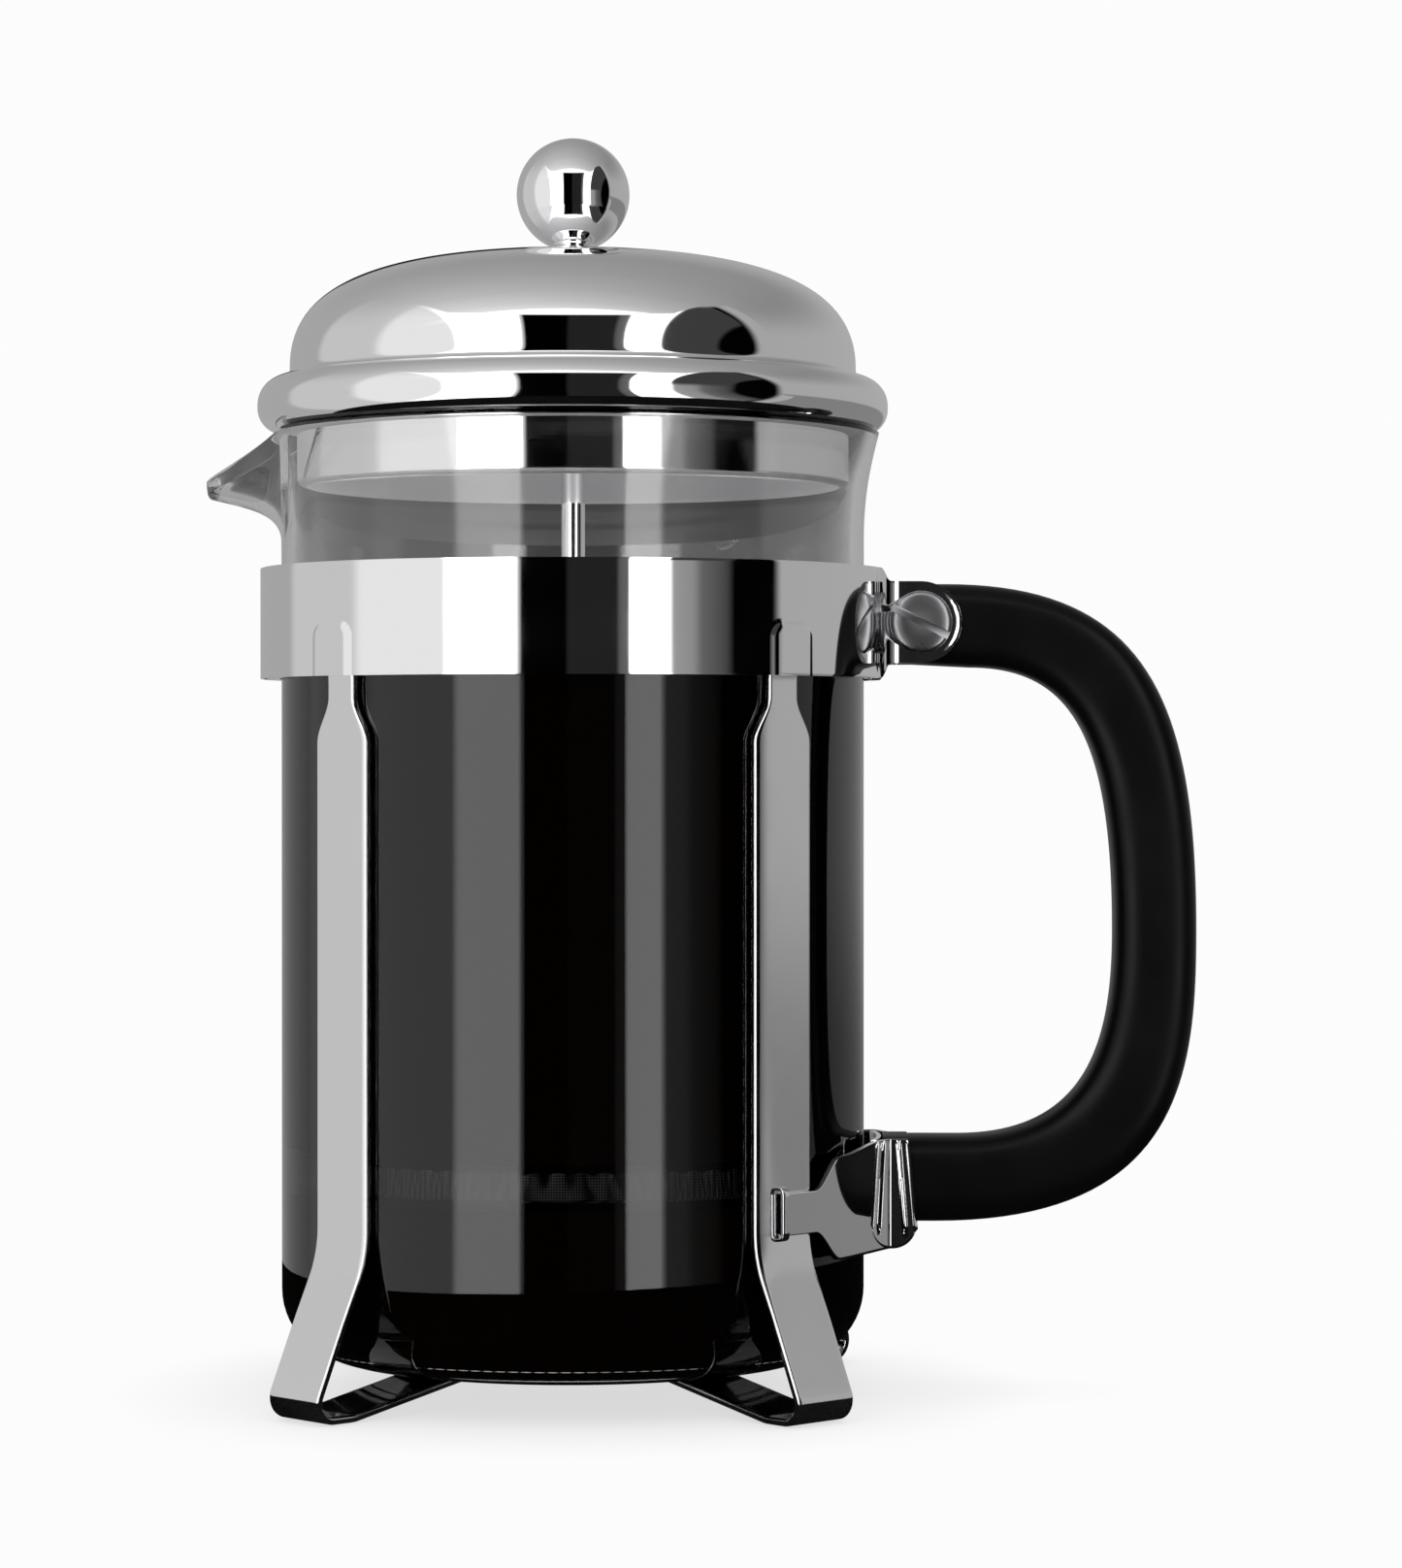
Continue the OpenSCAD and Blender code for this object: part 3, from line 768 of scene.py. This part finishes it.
def make_screw_head(name, node, side, shank):
    """A round slotted head on a lug, with its shank's radius; side is -1 at the front and 1 at the back."""
    low, high = box_mm(node)
    r = (high.z - low.z) / 2
    face = LUG_Y + COLLAR_T / 2
    tall = (high.y if side > 0 else -low.y) - face
    section = path_points(
        [(0, -SHANK_LONG), (shank, -SHANK_LONG), (shank, 0), (r - 0.3, 0)],
        arc((r - 0.3, 0.3), 0.3, -90, 0, 3),
        curve((r, tall * 0.45), (r - 0.1, tall * 0.85), (r * 0.88, tall * 0.93), (r * 0.6, tall), 10),
        [(0, tall)],
    )
    steps = 96
    points = []
    for i in range(steps):
        for radius, up in section:
            x, z, up = polar(radius, 360 * i / steps, up)
            points.append((LUG_X + x, side * (face + up), LUG_Z + z))
    head = mesh_object(name, points, grid_faces(steps, len(section), True))
    bpy.ops.mesh.primitive_cube_add(size=1)
    cutter = bpy.context.object
    cutter.scale = (3 * r * MM, tall * MM, SLOT_WIDTH * MM)
    cutter.location = (AXIS_X + LUG_X * MM, side * (face + tall * 0.95) * MM, LUG_Z * MM)
    cutter.rotation_euler = (0, math.radians(SLOT_ANGLE), 0)
    cut = head.modifiers.new("slot", "BOOLEAN")
    cut.operation = "DIFFERENCE"
    cut.object = cutter
    cut.solver = "EXACT"
    bevel(head, 0.12, 2, 50)
    settle(head, 40)
    bpy.data.objects.remove(cutter)
    finish_piece(head, "frame", SATIN, "chrome", node)


# ---- Lower bracket ----

BRACKET_R = GLASS_R + 2.55
BRACKET_ROWS = 36
CHEEK_Y = handle_high.y + BRACKET_T / 2
# Azimuths: the tab's end, where the wing starts and ends widening, and where it leaves the glass
TAB_AZIMUTH = 46.4
FLARE_FAR = 38.0
FLARE_NEAR = 30.0
LEAVE_AZIMUTH = 24.0
FOLD_R = 1.0
CHEEK_CORNER = 4.6
CHEEK_LEAN = 1.7
# Pressed ridges of the cheek: distance from its start and half width
RIDGES = ((2.55, 0.42), (4.6, 0.5))
RIDGE_OUT = 0.42
RIDGE_LOW = bracket_low.z + 2.6
RIDGE_HIGH = bracket_high.z - 0.5


def bracket_limits(azimuth, x):
    """Lower and upper edge of the bracket at an azimuth of its wing, or at x on its cheek."""
    share = smooth((FLARE_FAR - azimuth) / (FLARE_FAR - FLARE_NEAR))
    shoulder = bracket_high.z - 1.4
    top = TAB_HIGH + (shoulder - TAB_HIGH) * share + 1.4 * smooth((FLARE_NEAR - azimuth) / 18)
    bottom = TAB_LOW + (bracket_low.z - TAB_LOW) * share
    past = x - bracket_high.x + CHEEK_CORNER
    if past > 0:
        bottom = bracket_low.z + CHEEK_CORNER - math.sqrt(max(CHEEK_CORNER**2 - past**2, 0))
    return bottom, top


def wing_plan():
    """The bracket's middle line from above, on the -Y side: tab and wing with a flat, the fold, the cheek."""
    wing = arc((0, 0), BRACKET_R, -TAB_AZIMUTH, -LEAVE_AZIMUTH, 60)
    turn = math.radians(LEAVE_AZIMUTH)
    ahead = (math.sin(turn), math.cos(turn))
    fold_y = -CHEEK_Y - FOLD_R
    flat_end_y = fold_y + FOLD_R * ahead[0]
    flat_x = wing[-1][0] + (flat_end_y - wing[-1][1]) * ahead[0] / ahead[1]
    fold_x = flat_x + FOLD_R * ahead[1]
    wing = path_points(wing, line(wing[-1], (flat_x, flat_end_y), 14))
    fold = arc((fold_x, fold_y), FOLD_R, 180 - LEAVE_AZIMUTH, 90, 10)
    cheek = line((fold_x, -CHEEK_Y), (bracket_high.x - 0.1, -CHEEK_Y), 56)
    return wing, fold, cheek


def bracket_row(x, y, part, start, end):
    """An upright row of the bracket's middle surface; start and end are the cheek's ends in X."""
    on_cheek = part == "cheek"
    azimuth = -math.degrees(math.atan2(y, x)) if part == "wing" else 0
    low, high = bracket_limits(azimuth, x if on_cheek else 0)
    share = (x - start) / (end - start) if on_cheek else 0
    lean = CHEEK_LEAN * (0.6 * min(3 * share, 1) + 0.4 * share)
    across = sum(smooth(1 - abs(x - start - at) / wide) for at, wide in RIDGES)
    row = []
    for j in range(BRACKET_ROWS + 1):
        z = low + (high - low) * j / BRACKET_ROWS
        back = lean * (z - bracket_low.z) / (bracket_high.z - bracket_low.z)
        ridge = across * smooth((z - RIDGE_LOW) / 0.8) * smooth((RIDGE_HIGH - z) / 0.5)
        row.append((x - back, y - RIDGE_OUT * ridge, z))
    return row


def make_bracket():
    """The bracket: two mirrored sides, the back plate behind the handle's end and the floor under it."""
    wing, fold, cheek = wing_plan()
    rows = []
    for part, points in (("wing", wing), ("fold", fold), ("cheek", cheek)):
        for x, y in points:
            row = bracket_row(x, y, part, cheek[0][0], cheek[-1][0])
            if not rows or math.dist(rows[-1][0], row[0]) > 1e-3:
                rows.append(row)
    sides = []
    for side in (1, -1):
        mirrored = [[(x, side * y, z) for x, y, z in row] for row in rows]
        sides.append(sheet("bracket_side", mirrored, BRACKET_T, 0.3))
    near, far = BRACKET_R - 0.4, BRACKET_R + 0.4
    section = [(near, bracket_low.z), (far, bracket_low.z), (far, bracket_high.z), (near, bracket_high.z)]
    back = open_ring("bracket_back", section, -11, 11, 20)
    floor_low = (BRACKET_R, -CHEEK_Y, HANDLE_BOTTOM - BRACKET_T)
    floor_high = (bracket_high.x - 1, CHEEK_Y, HANDLE_BOTTOM)
    bracket = join(sides[0], sides[1], back, block("bracket_floor", floor_low, floor_high))
    bracket.name = "bracket"
    finish_piece(bracket, "frame", CHROME, "chrome", "lower_bracket")


# ---- Lid ----

BEAD_R = dome_high.y
DOME_TOP = dome_high.z
LID_T = 0.8
DOME_R = BEAD_R - 5.5
DOME_FOOT_Z = RIM_Z + 11.3
HOLE_R = 3.0
# The bead is rolled to these radii, above and below its widest place
BEAD_UPPER = 4.7
BEAD_LOWER = 4.0


def dome_line(inset):
    """Line of the dome and its bead at a depth below the outer face."""
    top, wall = DOME_TOP - inset, DOME_R - inset
    return path_points(
        curve((HOLE_R, top), (27, top), (wall, DOME_TOP - 3), (wall, DOME_FOOT_Z), 60),
        curve((wall, DOME_FOOT_Z), (wall, DOME_FOOT_Z - 1.4), (wall + 0.1, RIM_Z + 9.5 - inset),
              (DOME_R + 1.2, RIM_Z + 9.4 - inset), 8),
        arc((BEAD_R - BEAD_UPPER, RIM_Z + BEAD_UPPER), BEAD_UPPER - inset, 84, 0, 20),
        arc((BEAD_R - BEAD_LOWER, RIM_Z + BEAD_LOWER), BEAD_LOWER - inset, 0, -90, 18),
        [(skirt_high.y - 3, RIM_Z + inset)],
    )


def matt_inside(obj):
    """Gives the lid's unpolished inner faces their own material."""
    obj.data.materials.append(INSIDE)
    for face in obj.data.polygons:
        x, y = face.center.x - AXIS_X, face.center.y
        inwards = x * face.normal.x + y * face.normal.y < 0
        under = face.normal.z < -0.3 and math.hypot(x, y) < GLASS_R * MM
        if inwards or under:
            face.material_index = 1


def make_dome():
    """The domed top with its rolled bead."""
    section = dome_line(0) + list(reversed(dome_line(LID_T)))
    dome = settle(revolve("dome", section, 320), 45)
    finish_piece(dome, "lid", CHROME, "chrome", "lid_dome")
    matt_inside(dome)


def make_skirt():
    """The inner ring: its foot curled inwards, its top a flange that hangs from the bead."""
    r = reach_mm("lid_skirt", skirt_low.z, skirt_low.z + 3)
    low, high, flange_r = skirt_low.z, skirt_high.z, skirt_high.y
    section = path_points(
        [(r - LID_T, low + 1.6), (r - 1.6, low + LID_T), (r - 1.6, low)],
        curve((r - 1.2, low), (r - 0.4, low), (r, low + 0.4), (r, low + 1.2), 6),
        [(r, high - LID_T), (flange_r, high - LID_T), (flange_r, high), (r - LID_T, high)],
    )
    skirt = settle(revolve("skirt", section, 320), 45)
    finish_piece(skirt, "lid", CHROME, "chrome", "lid_skirt")
    matt_inside(skirt)


def make_bush():
    """The rod's guide, grooved where the dome's edge sits in it."""
    low, high = box_mm("lid_bush")
    r, bore = high.y, ROD_R + 0.05
    section = [
        (bore, low.z), (r - 0.2, low.z), (r, low.z + 0.2), (r, DOME_TOP - LID_T), (HOLE_R, DOME_TOP - LID_T),
        (HOLE_R, DOME_TOP), (r, DOME_TOP), (r - 0.1, high.z - 0.3), (r - 0.5, high.z), (bore, high.z),
    ]
    bush = settle(revolve("bush", section, 96), 30)
    finish_piece(bush, "lid", CHROME, "chrome", "lid_bush")


# ---- Plunger ----


def make_knob():
    """The ball, and the insert that shows as a neck under it."""
    r, bore = knob_high.y, insert_high.x
    low, high = insert_low.z, insert_high.z
    start = -math.degrees(math.acos(bore / r))
    ball_line = arc((0, knob_high.z - r), r, start, 90, 90)
    section = path_points([(bore, high)], ball_line, [(0, high + 0.01)])
    ball = settle(revolve("knob", section, 160, False), 50)
    finish_piece(ball, "plunger", CHROME, "chrome", "plunger_knob")
    hollow = [(0, low + 1), (2, low + 1), (2, low)]
    outside = [(bore - 0.5, low), (bore, low + 0.4), (bore, high), (0, high)]
    neck = settle(revolve("knob_neck", hollow + outside, 64, False), 30)
    finish_piece(neck, "plunger", CHROME, "chrome", "knob_insert")


def make_rod():
    r, low, high = ROD_R, rod_low.z / MM, rod_high.z / MM
    section = [(0, low), (r - 0.4, low), (r, low + 0.5), (r, high - 0.5), (r - 0.4, high), (0, high)]
    rod = settle(revolve("rod", section, 48, False), 30)
    finish_piece(rod, "plunger", CHROME, "chrome", "plunger_rod")


# Coils of the edge spring, and crimps of the cloth's rim
COILS = 80
# Thickness of the cloth, and the radius of the bend at its rim
MESH_T = 0.3
MESH_BEND = 0.8


def tube(name, path, radius, sides):
    """A closed loop of wire along a path of points."""
    count = len(path)
    points = []
    up = Vector((0, 0, 1))
    for i in range(count):
        p = Vector(path[i])
        ahead = (Vector(path[(i + 1) % count]) - Vector(path[i - 1])).normalized()
        side = ahead.cross(up).normalized()
        top = side.cross(ahead)
        for k in range(sides):
            a = 2 * math.pi * k / sides
            points.append(tuple(p + side * radius * math.cos(a) + top * radius * math.sin(a)))
    return mesh_object(name, points, grid_faces(count, sides, True, True))


def make_spring():
    """The wire spring: coils wound round a circle."""
    per_turn, wire = 14, 0.45
    half_tall = (spring_high.z - spring_low.z) / 2
    big = (spring_high.x - spring_low.x) / 2 - half_tall
    small = half_tall - wire
    middle = (spring_high.z + spring_low.z) / 2
    path = []
    for i in range(COILS * per_turn):
        around = 2 * math.pi * i / (COILS * per_turn)
        coil = COILS * around
        r = big + small * math.cos(coil)
        path.append((r * math.cos(around), r * math.sin(around), middle + small * math.sin(coil)))
    spring = settle(tube("spring", path, wire, 8), 80)
    finish_piece(spring, "plunger", STEEL, "filter_steel", "edge_spring")


def make_mesh_screen():
    """The wire cloth, with a rim that stands up round the spring and is crimped to its coils."""
    r, low, high = mesh_high.x, mesh_low.z, mesh_high.z
    bend_z = low + MESH_BEND
    outer = path_points(
        line((ROD_R + 1.6, low), (r - MESH_BEND, low), 20),
        arc((r - MESH_BEND, bend_z), MESH_BEND, -90, 0, 5),
        line((r, bend_z), (r, high), 6),
    )
    inner = [(p - MESH_T, q) if q > bend_z else (p - MESH_T / 2, q + MESH_T) for p, q in reversed(outer)]
    section = outer + inner
    steps = 480
    points = []
    for i in range(steps):
        crimp = 0.5 - 0.5 * math.cos(2 * math.pi * COILS * i / steps)
        for p, q in section:
            rise = smooth((q - low - 1) / (high - low - 1))
            points.append(polar(p - 0.28 * crimp * rise, 360 * i / steps, q - 0.5 * crimp * rise))
    screen = settle(mesh_object("screen", points, grid_faces(steps, len(section), True, True)), 50)
    finish_piece(screen, "plunger", WEAVE, "filter_steel", "mesh_screen")


def keep_cad(node, material):
    """A CAD node that is right as it stands, with a better material."""
    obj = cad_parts[node]
    obj.data.materials.clear()
    obj.data.materials.append(material)


make_glass()
make_collar()
make_legs()
make_rivet()
make_handle()
make_screw_head("screw_front", "handle_screw", -1, 2)
make_screw_head("screw_back", "handle_nut", 1, 3)
make_bracket()
make_dome()
make_skirt()
make_bush()
make_knob()
make_rod()
make_spring()
make_mesh_screen()
for cad_node in ("rod_nut", "spiral_plate", "cross_plate", "cross_hub"):
    keep_cad(cad_node, STEEL)

# ---- Contents, floor and light ----

COFFEE_TOP = collar_high.z - 4
COFFEE_R = GLASS_R - GLASS_WALL + 0.05
# The light groove that the filter leaves at the drink's edge
GROOVE_LOW = mesh_low.z - 1.2
GROOVE_HIGH = mesh_high.z + 1.1
GROOVE_R = mesh_high.x - 0.6
# Brightness of the backdrop and the floor, and how far from the feet the painted contact shadow darkens the
# floor, in metres
PALE = 0.975
PAINTED_SHADOW_REACH = 0.035
# The small lights in the lid: watts of each, and where they stand
GLOW = 0.035
GLOW_X = 22
GLOW_Y = -24
GLOW_Z = skirt_low.z - 9
# Radius of the mirrored table, in metres
TABLE_R = 0.23


def make_coffee():
    """The drink: part of the picture and not of the object. It meets the glass, so only the glass gleams."""
    low = GLASS_Z + GLASS_WALL
    corner = GLASS_CORNER - GLASS_WALL
    section = path_points(
        [(0, low)],
        arc((COFFEE_R - corner, low + corner), corner, -90, 0, 10),
        [(COFFEE_R, GROOVE_LOW), (GROOVE_R, GROOVE_LOW), (GROOVE_R, GROOVE_HIGH), (COFFEE_R, GROOVE_HIGH)],
        [(COFFEE_R, COFFEE_TOP), (0, COFFEE_TOP)],
    )
    coffee = settle(revolve("coffee", section, 128, False), 40)
    nodes = Nodes("coffee")
    nodes.set(Base_Color=(0.002, 0.001, 0.0005, 1), Roughness=0.5, Specular_IOR_Level=0.0)
    coffee.data.materials.append(nodes.material)
    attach(coffee, "beaker")


def make_coffee_film():
    """The thin layer of drink between the filter's edge and the glass, which darkens what shows there."""
    steps = 120
    edges = (GROOVE_LOW, GROOVE_HIGH)
    points = [polar(COFFEE_R + 0.01, 360 * i / steps, z) for i in range(steps) for z in edges]
    film = mesh_object("coffee_film", points, grid_faces(steps, 2, True))
    material, _, clear = bare_material("coffee_film", "ShaderNodeBsdfTransparent")
    clear.inputs["Color"].default_value = (0.2, 0.2, 0.2, 1)
    film.data.materials.append(material)
    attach(film, "beaker")


def disc(name, radius, z, material, glossy):
    """A level disc round the origin that lights nothing: seen by the camera only, or in mirrors only."""
    bpy.ops.mesh.primitive_circle_add(vertices=128, radius=radius, fill_type="NGON", location=(0, 0, z))
    obj = bpy.context.object
    obj.name = name
    obj.data.materials.append(material)
    obj.visible_camera = not glossy
    obj.visible_glossy = glossy
    obj.visible_transmission = False
    obj.visible_diffuse = False
    obj.visible_shadow = False


def make_floor():
    """A pale floor with a painted contact shadow: it darkens a little where the object stands on it."""
    material, tree, light = bare_material("floor", "ShaderNodeEmission")
    # Painted contact shadow: ambient occlusion blends the floor's glow from PALE down to grey 0.68 near the
    # object
    painted_shade = tree.nodes.new("ShaderNodeAmbientOcclusion")
    painted_shade.inputs["Distance"].default_value = PAINTED_SHADOW_REACH
    painted_shade.samples = 12
    blend = tree.nodes.new("ShaderNodeMix")
    blend.data_type = "RGBA"
    blend.inputs["A"].default_value = (0.68, 0.68, 0.68, 1)
    blend.inputs["B"].default_value = (PALE, PALE, PALE, 1)
    tree.links.new(painted_shade.outputs["AO"], blend.inputs["Factor"])
    tree.links.new(blend.outputs["Result"], light.inputs["Color"])
    disc("floor", 60, -0.0002, material, False)


def make_lid_glow():
    """Two small lights over the drink, for the light that comes up inside the lid."""
    for x in (-GLOW_X, GLOW_X):
        data = bpy.data.lights.new("lid_glow", "POINT")
        data.energy = GLOW
        data.shadow_soft_size = 0.008
        light = bpy.data.objects.new("lid_glow", data)
        bpy.context.scene.collection.objects.link(light)
        light.location = (AXIS_X + x * MM, GLOW_Y * MM, GLOW_Z * MM)
        light.visible_camera = False
        light.visible_glossy = False
        light.visible_transmission = False


def make_dark_table():
    """The table top as the object mirrors it: dark, and ending a hand's breadth in front."""
    material, _, light = bare_material("dark_table", "ShaderNodeEmission")
    light.inputs["Color"].default_value = (0.004, 0.004, 0.004, 1)
    disc("dark_table", TABLE_R, -0.0005, material, True)


# Brightness of the studio at eye level by azimuth, in degrees from the camera's side towards the handle
STUDIO = (
    (-180, 0.39), (-124, 0.39), (-119, 0.57), (-85, 0.57), (-80, 0.83), (-45, 0.83), (-42, 2.8), (-18, 2.8),
    (-16.5, 0.0), (0, 0.0), (1, 0.015), (18.5, 0.015), (20, 0.12), (23, 0.12), (24, 3.0), (37, 3.0),
    (38.5, 0.33), (47, 0.27), (50, 0.13), (60, 0.06), (63, 0.0), (81, 0.0), (84, 0.39), (172, 0.42),
    (180, 0.39),
)
# Brightness overhead by the angle from the camera's side over the top to the back
OVERHEAD = (
    (0, 2.6), (46, 2.6), (49, 0.72), (58, 0.58), (80, 0.44), (110, 0.35), (140, 0.3), (180, 0.27),
)
# Where the sky overhead begins by azimuth, in hundreds of degrees, and how softly
HEAD_START = (
    (-180, 0.12), (-60, 0.22), (-43, 0.25), (-42, 0.385), (37, 0.385), (38.5, 0.47), (60, 0.4), (82, 0.3),
    (84, 0.14), (180, 0.12),
)
HEAD_SOFT = ((-180, 0.3), (-43, 0.4), (-42, 0.025), (82, 0.025), (84, 0.3), (180, 0.3))
# What a ray that has gone through the glass sees behind the object
BEHIND_GLASS = 0.055


class WorldNodes:
    """The world's node tree, with the direction looked in and short names for its sums."""

    def __init__(self):
        world = bpy.data.worlds.new("studio")
        bpy.context.scene.world = world
        world.use_nodes = True
        self.tree = world.node_tree
        self.tree.nodes.clear()
        direction = self.add("ShaderNodeSeparateXYZ")
        self.put(self.add("ShaderNodeTexCoord").outputs["Generated"], direction.inputs[0])
        self.x, y, z = direction.outputs
        self.ahead = self.maths("MULTIPLY", y, -1.0)
        self.elevation = self.maths("ARCSINE", z)
        self.over = self.maths("ARCTAN2", z, self.ahead)
        # Two azimuths: the true one, and one by X alone, whose edges stay upright in curved mirrors
        self.true_azimuth = self.maths("ARCTAN2", self.x, self.ahead)
        side = self.maths("ARCSINE", self.x)
        behind = self.maths("SUBTRACT", self.product(self.maths("SIGN", self.x), math.pi), side)
        self.azimuth = self.blend(self.maths("GREATER_THAN", self.ahead, 0.0), behind, side)

    def add(self, kind, **settings):
        node = self.tree.nodes.new(kind)
        for key, value in settings.items():
            setattr(node, key, value)
        return node

    def put(self, value, socket):
        """A number, a grey level or another node's output into a socket."""
        if isinstance(value, (int, float)):
            socket.default_value = (value, value, value, 1) if socket.type == "RGBA" else value
        else:
            self.tree.links.new(value, socket)

    def maths(self, operation, *values):
        node = self.add("ShaderNodeMath", operation=operation)
        for value, socket in zip(values, node.inputs):
            self.put(value, socket)
        return node.outputs[0]

    def product(self, first, *others):
        for other in others:
            first = self.maths("MULTIPLY", first, other)
        return first

    def span(self, value, low, high):
        """0 to 1 as a number goes from low to high."""
        node = self.add("ShaderNodeMapRange", interpolation_type="SMOOTHSTEP")
        self.put(value, node.inputs["Value"])
        node.inputs["From Min"].default_value = low
        node.inputs["From Max"].default_value = high
        return node.outputs["Result"]

    def step(self, angle, start, end):
        """0 to 1 as an angle goes from start to end, in degrees."""
        return self.span(angle, math.radians(start), math.radians(end))

    def blend(self, factor, a, b, data_type="FLOAT"):
        """A value between a and b."""
        node = self.add("ShaderNodeMix", data_type=data_type)
        for key, value in (("Factor", factor), ("A", a), ("B", b)):
            self.put(value, node.inputs[key])
        return node.outputs["Result"]

    def mix(self, factor, a, b):
        """A grey level between a and b."""
        return self.blend(factor, a, b, "RGBA")

    def ramp(self, angle, stops, low, high):
        """A value looked up by an angle in a table that runs from low to high degrees."""
        node = self.add("ShaderNodeValToRGB")
        from_low = self.maths("SUBTRACT", angle, math.radians(low))
        self.put(self.maths("DIVIDE", from_low, math.radians(high - low)), node.inputs["Fac"])
        elements = node.color_ramp.elements
        while len(elements) < len(stops):
            elements.new(0.5)
        for element, (place, level) in zip(elements, stops):
            element.position = (place - low) / (high - low)
            element.color = (level, level, level, 1)
        return node.outputs["Color"]

    def round_ramp(self, azimuth, stops):
        """A value looked up in a table that runs once round the object."""
        return self.ramp(azimuth, stops, -180, 180)


def light_around(world):
    """The soft boxes and dark gaps that stand round the object."""
    azimuth, elevation = world.azimuth, world.elevation
    # The azimuth by X alone holds in front, and the true one from the side plane back
    on_left = world.span(world.ahead, 0.0, 0.45)
    on_right = world.span(world.ahead, 0.15, 0.17)
    front = world.blend(world.maths("GREATER_THAN", world.x, 0.0), on_left, on_right)
    level = world.mix(front, world.round_ramp(world.true_azimuth, STUDIO), world.round_ramp(azimuth, STUDIO))
    # Above eye level the box on the right has a darker neighbour
    gap = world.product(world.step(azimuth, 37.5, 38.5), world.step(azimuth, 62, 60), front)
    level = world.mix(world.product(gap, world.step(elevation, 3, 7)), level, 0.045)
    # Below eye level the far right is dimmed by nearly half
    low_right = world.product(world.step(azimuth, 81, 84), world.step(elevation, -1, -4), 0.45)
    return world.mix(low_right, level, 0.0)


def light_above(world):
    """The light from overhead, a little dimmer on the handle's side."""
    tinted = world.add("ShaderNodeVectorMath", operation="SCALE")
    world.put(world.ramp(world.over, OVERHEAD, 0, 180), tinted.inputs[0])
    world.put(world.maths("SUBTRACT", 1.0, world.product(world.x, 0.35)), tinted.inputs["Scale"])
    return tinted.outputs[0]


def make_studio():
    """The studio as a world that only mirrors and matt faces see; the camera sees a pale backdrop."""
    world = WorldNodes()
    start = world.product(world.round_ramp(world.azimuth, HEAD_START), math.radians(100))
    soft = world.product(world.round_ramp(world.azimuth, HEAD_SOFT), math.radians(100))
    above = world.maths("DIVIDE", world.maths("SUBTRACT", world.elevation, start), soft)
    lit = world.mix(world.span(above, 0, 1), light_around(world), light_above(world))
    # A dark patch behind on the left, which left-hand contours that lean back mirror
    azimuth, elevation = world.azimuth, world.elevation
    edge_across = world.product(world.step(azimuth, -179, -177), world.step(azimuth, -168, -170))
    edge = world.product(edge_across, world.step(elevation, 6, 7), world.step(elevation, 17, 15))
    lit = world.mix(edge, lit, 0.01)

    path = world.add("ShaderNodeLightPath")
    depth = world.maths("ADD", path.outputs["Glossy Depth"], path.outputs["Diffuse Depth"])
    mirrored = world.maths("GREATER_THAN", depth, 0.5)
    through = world.maths("GREATER_THAN", path.outputs["Transmission Depth"], 0.5)
    background = world.add("ShaderNodeBackground")
    world.put(world.mix(mirrored, world.mix(through, PALE, BEHIND_GLASS), lit), background.inputs["Color"])
    output = world.add("ShaderNodeOutputWorld")
    world.put(background.outputs[0], output.inputs[0])


make_coffee()
make_coffee_film()
make_lid_glow()
make_floor()
make_dark_table()
make_studio()
bpy.context.scene.view_settings.view_transform = "Standard"
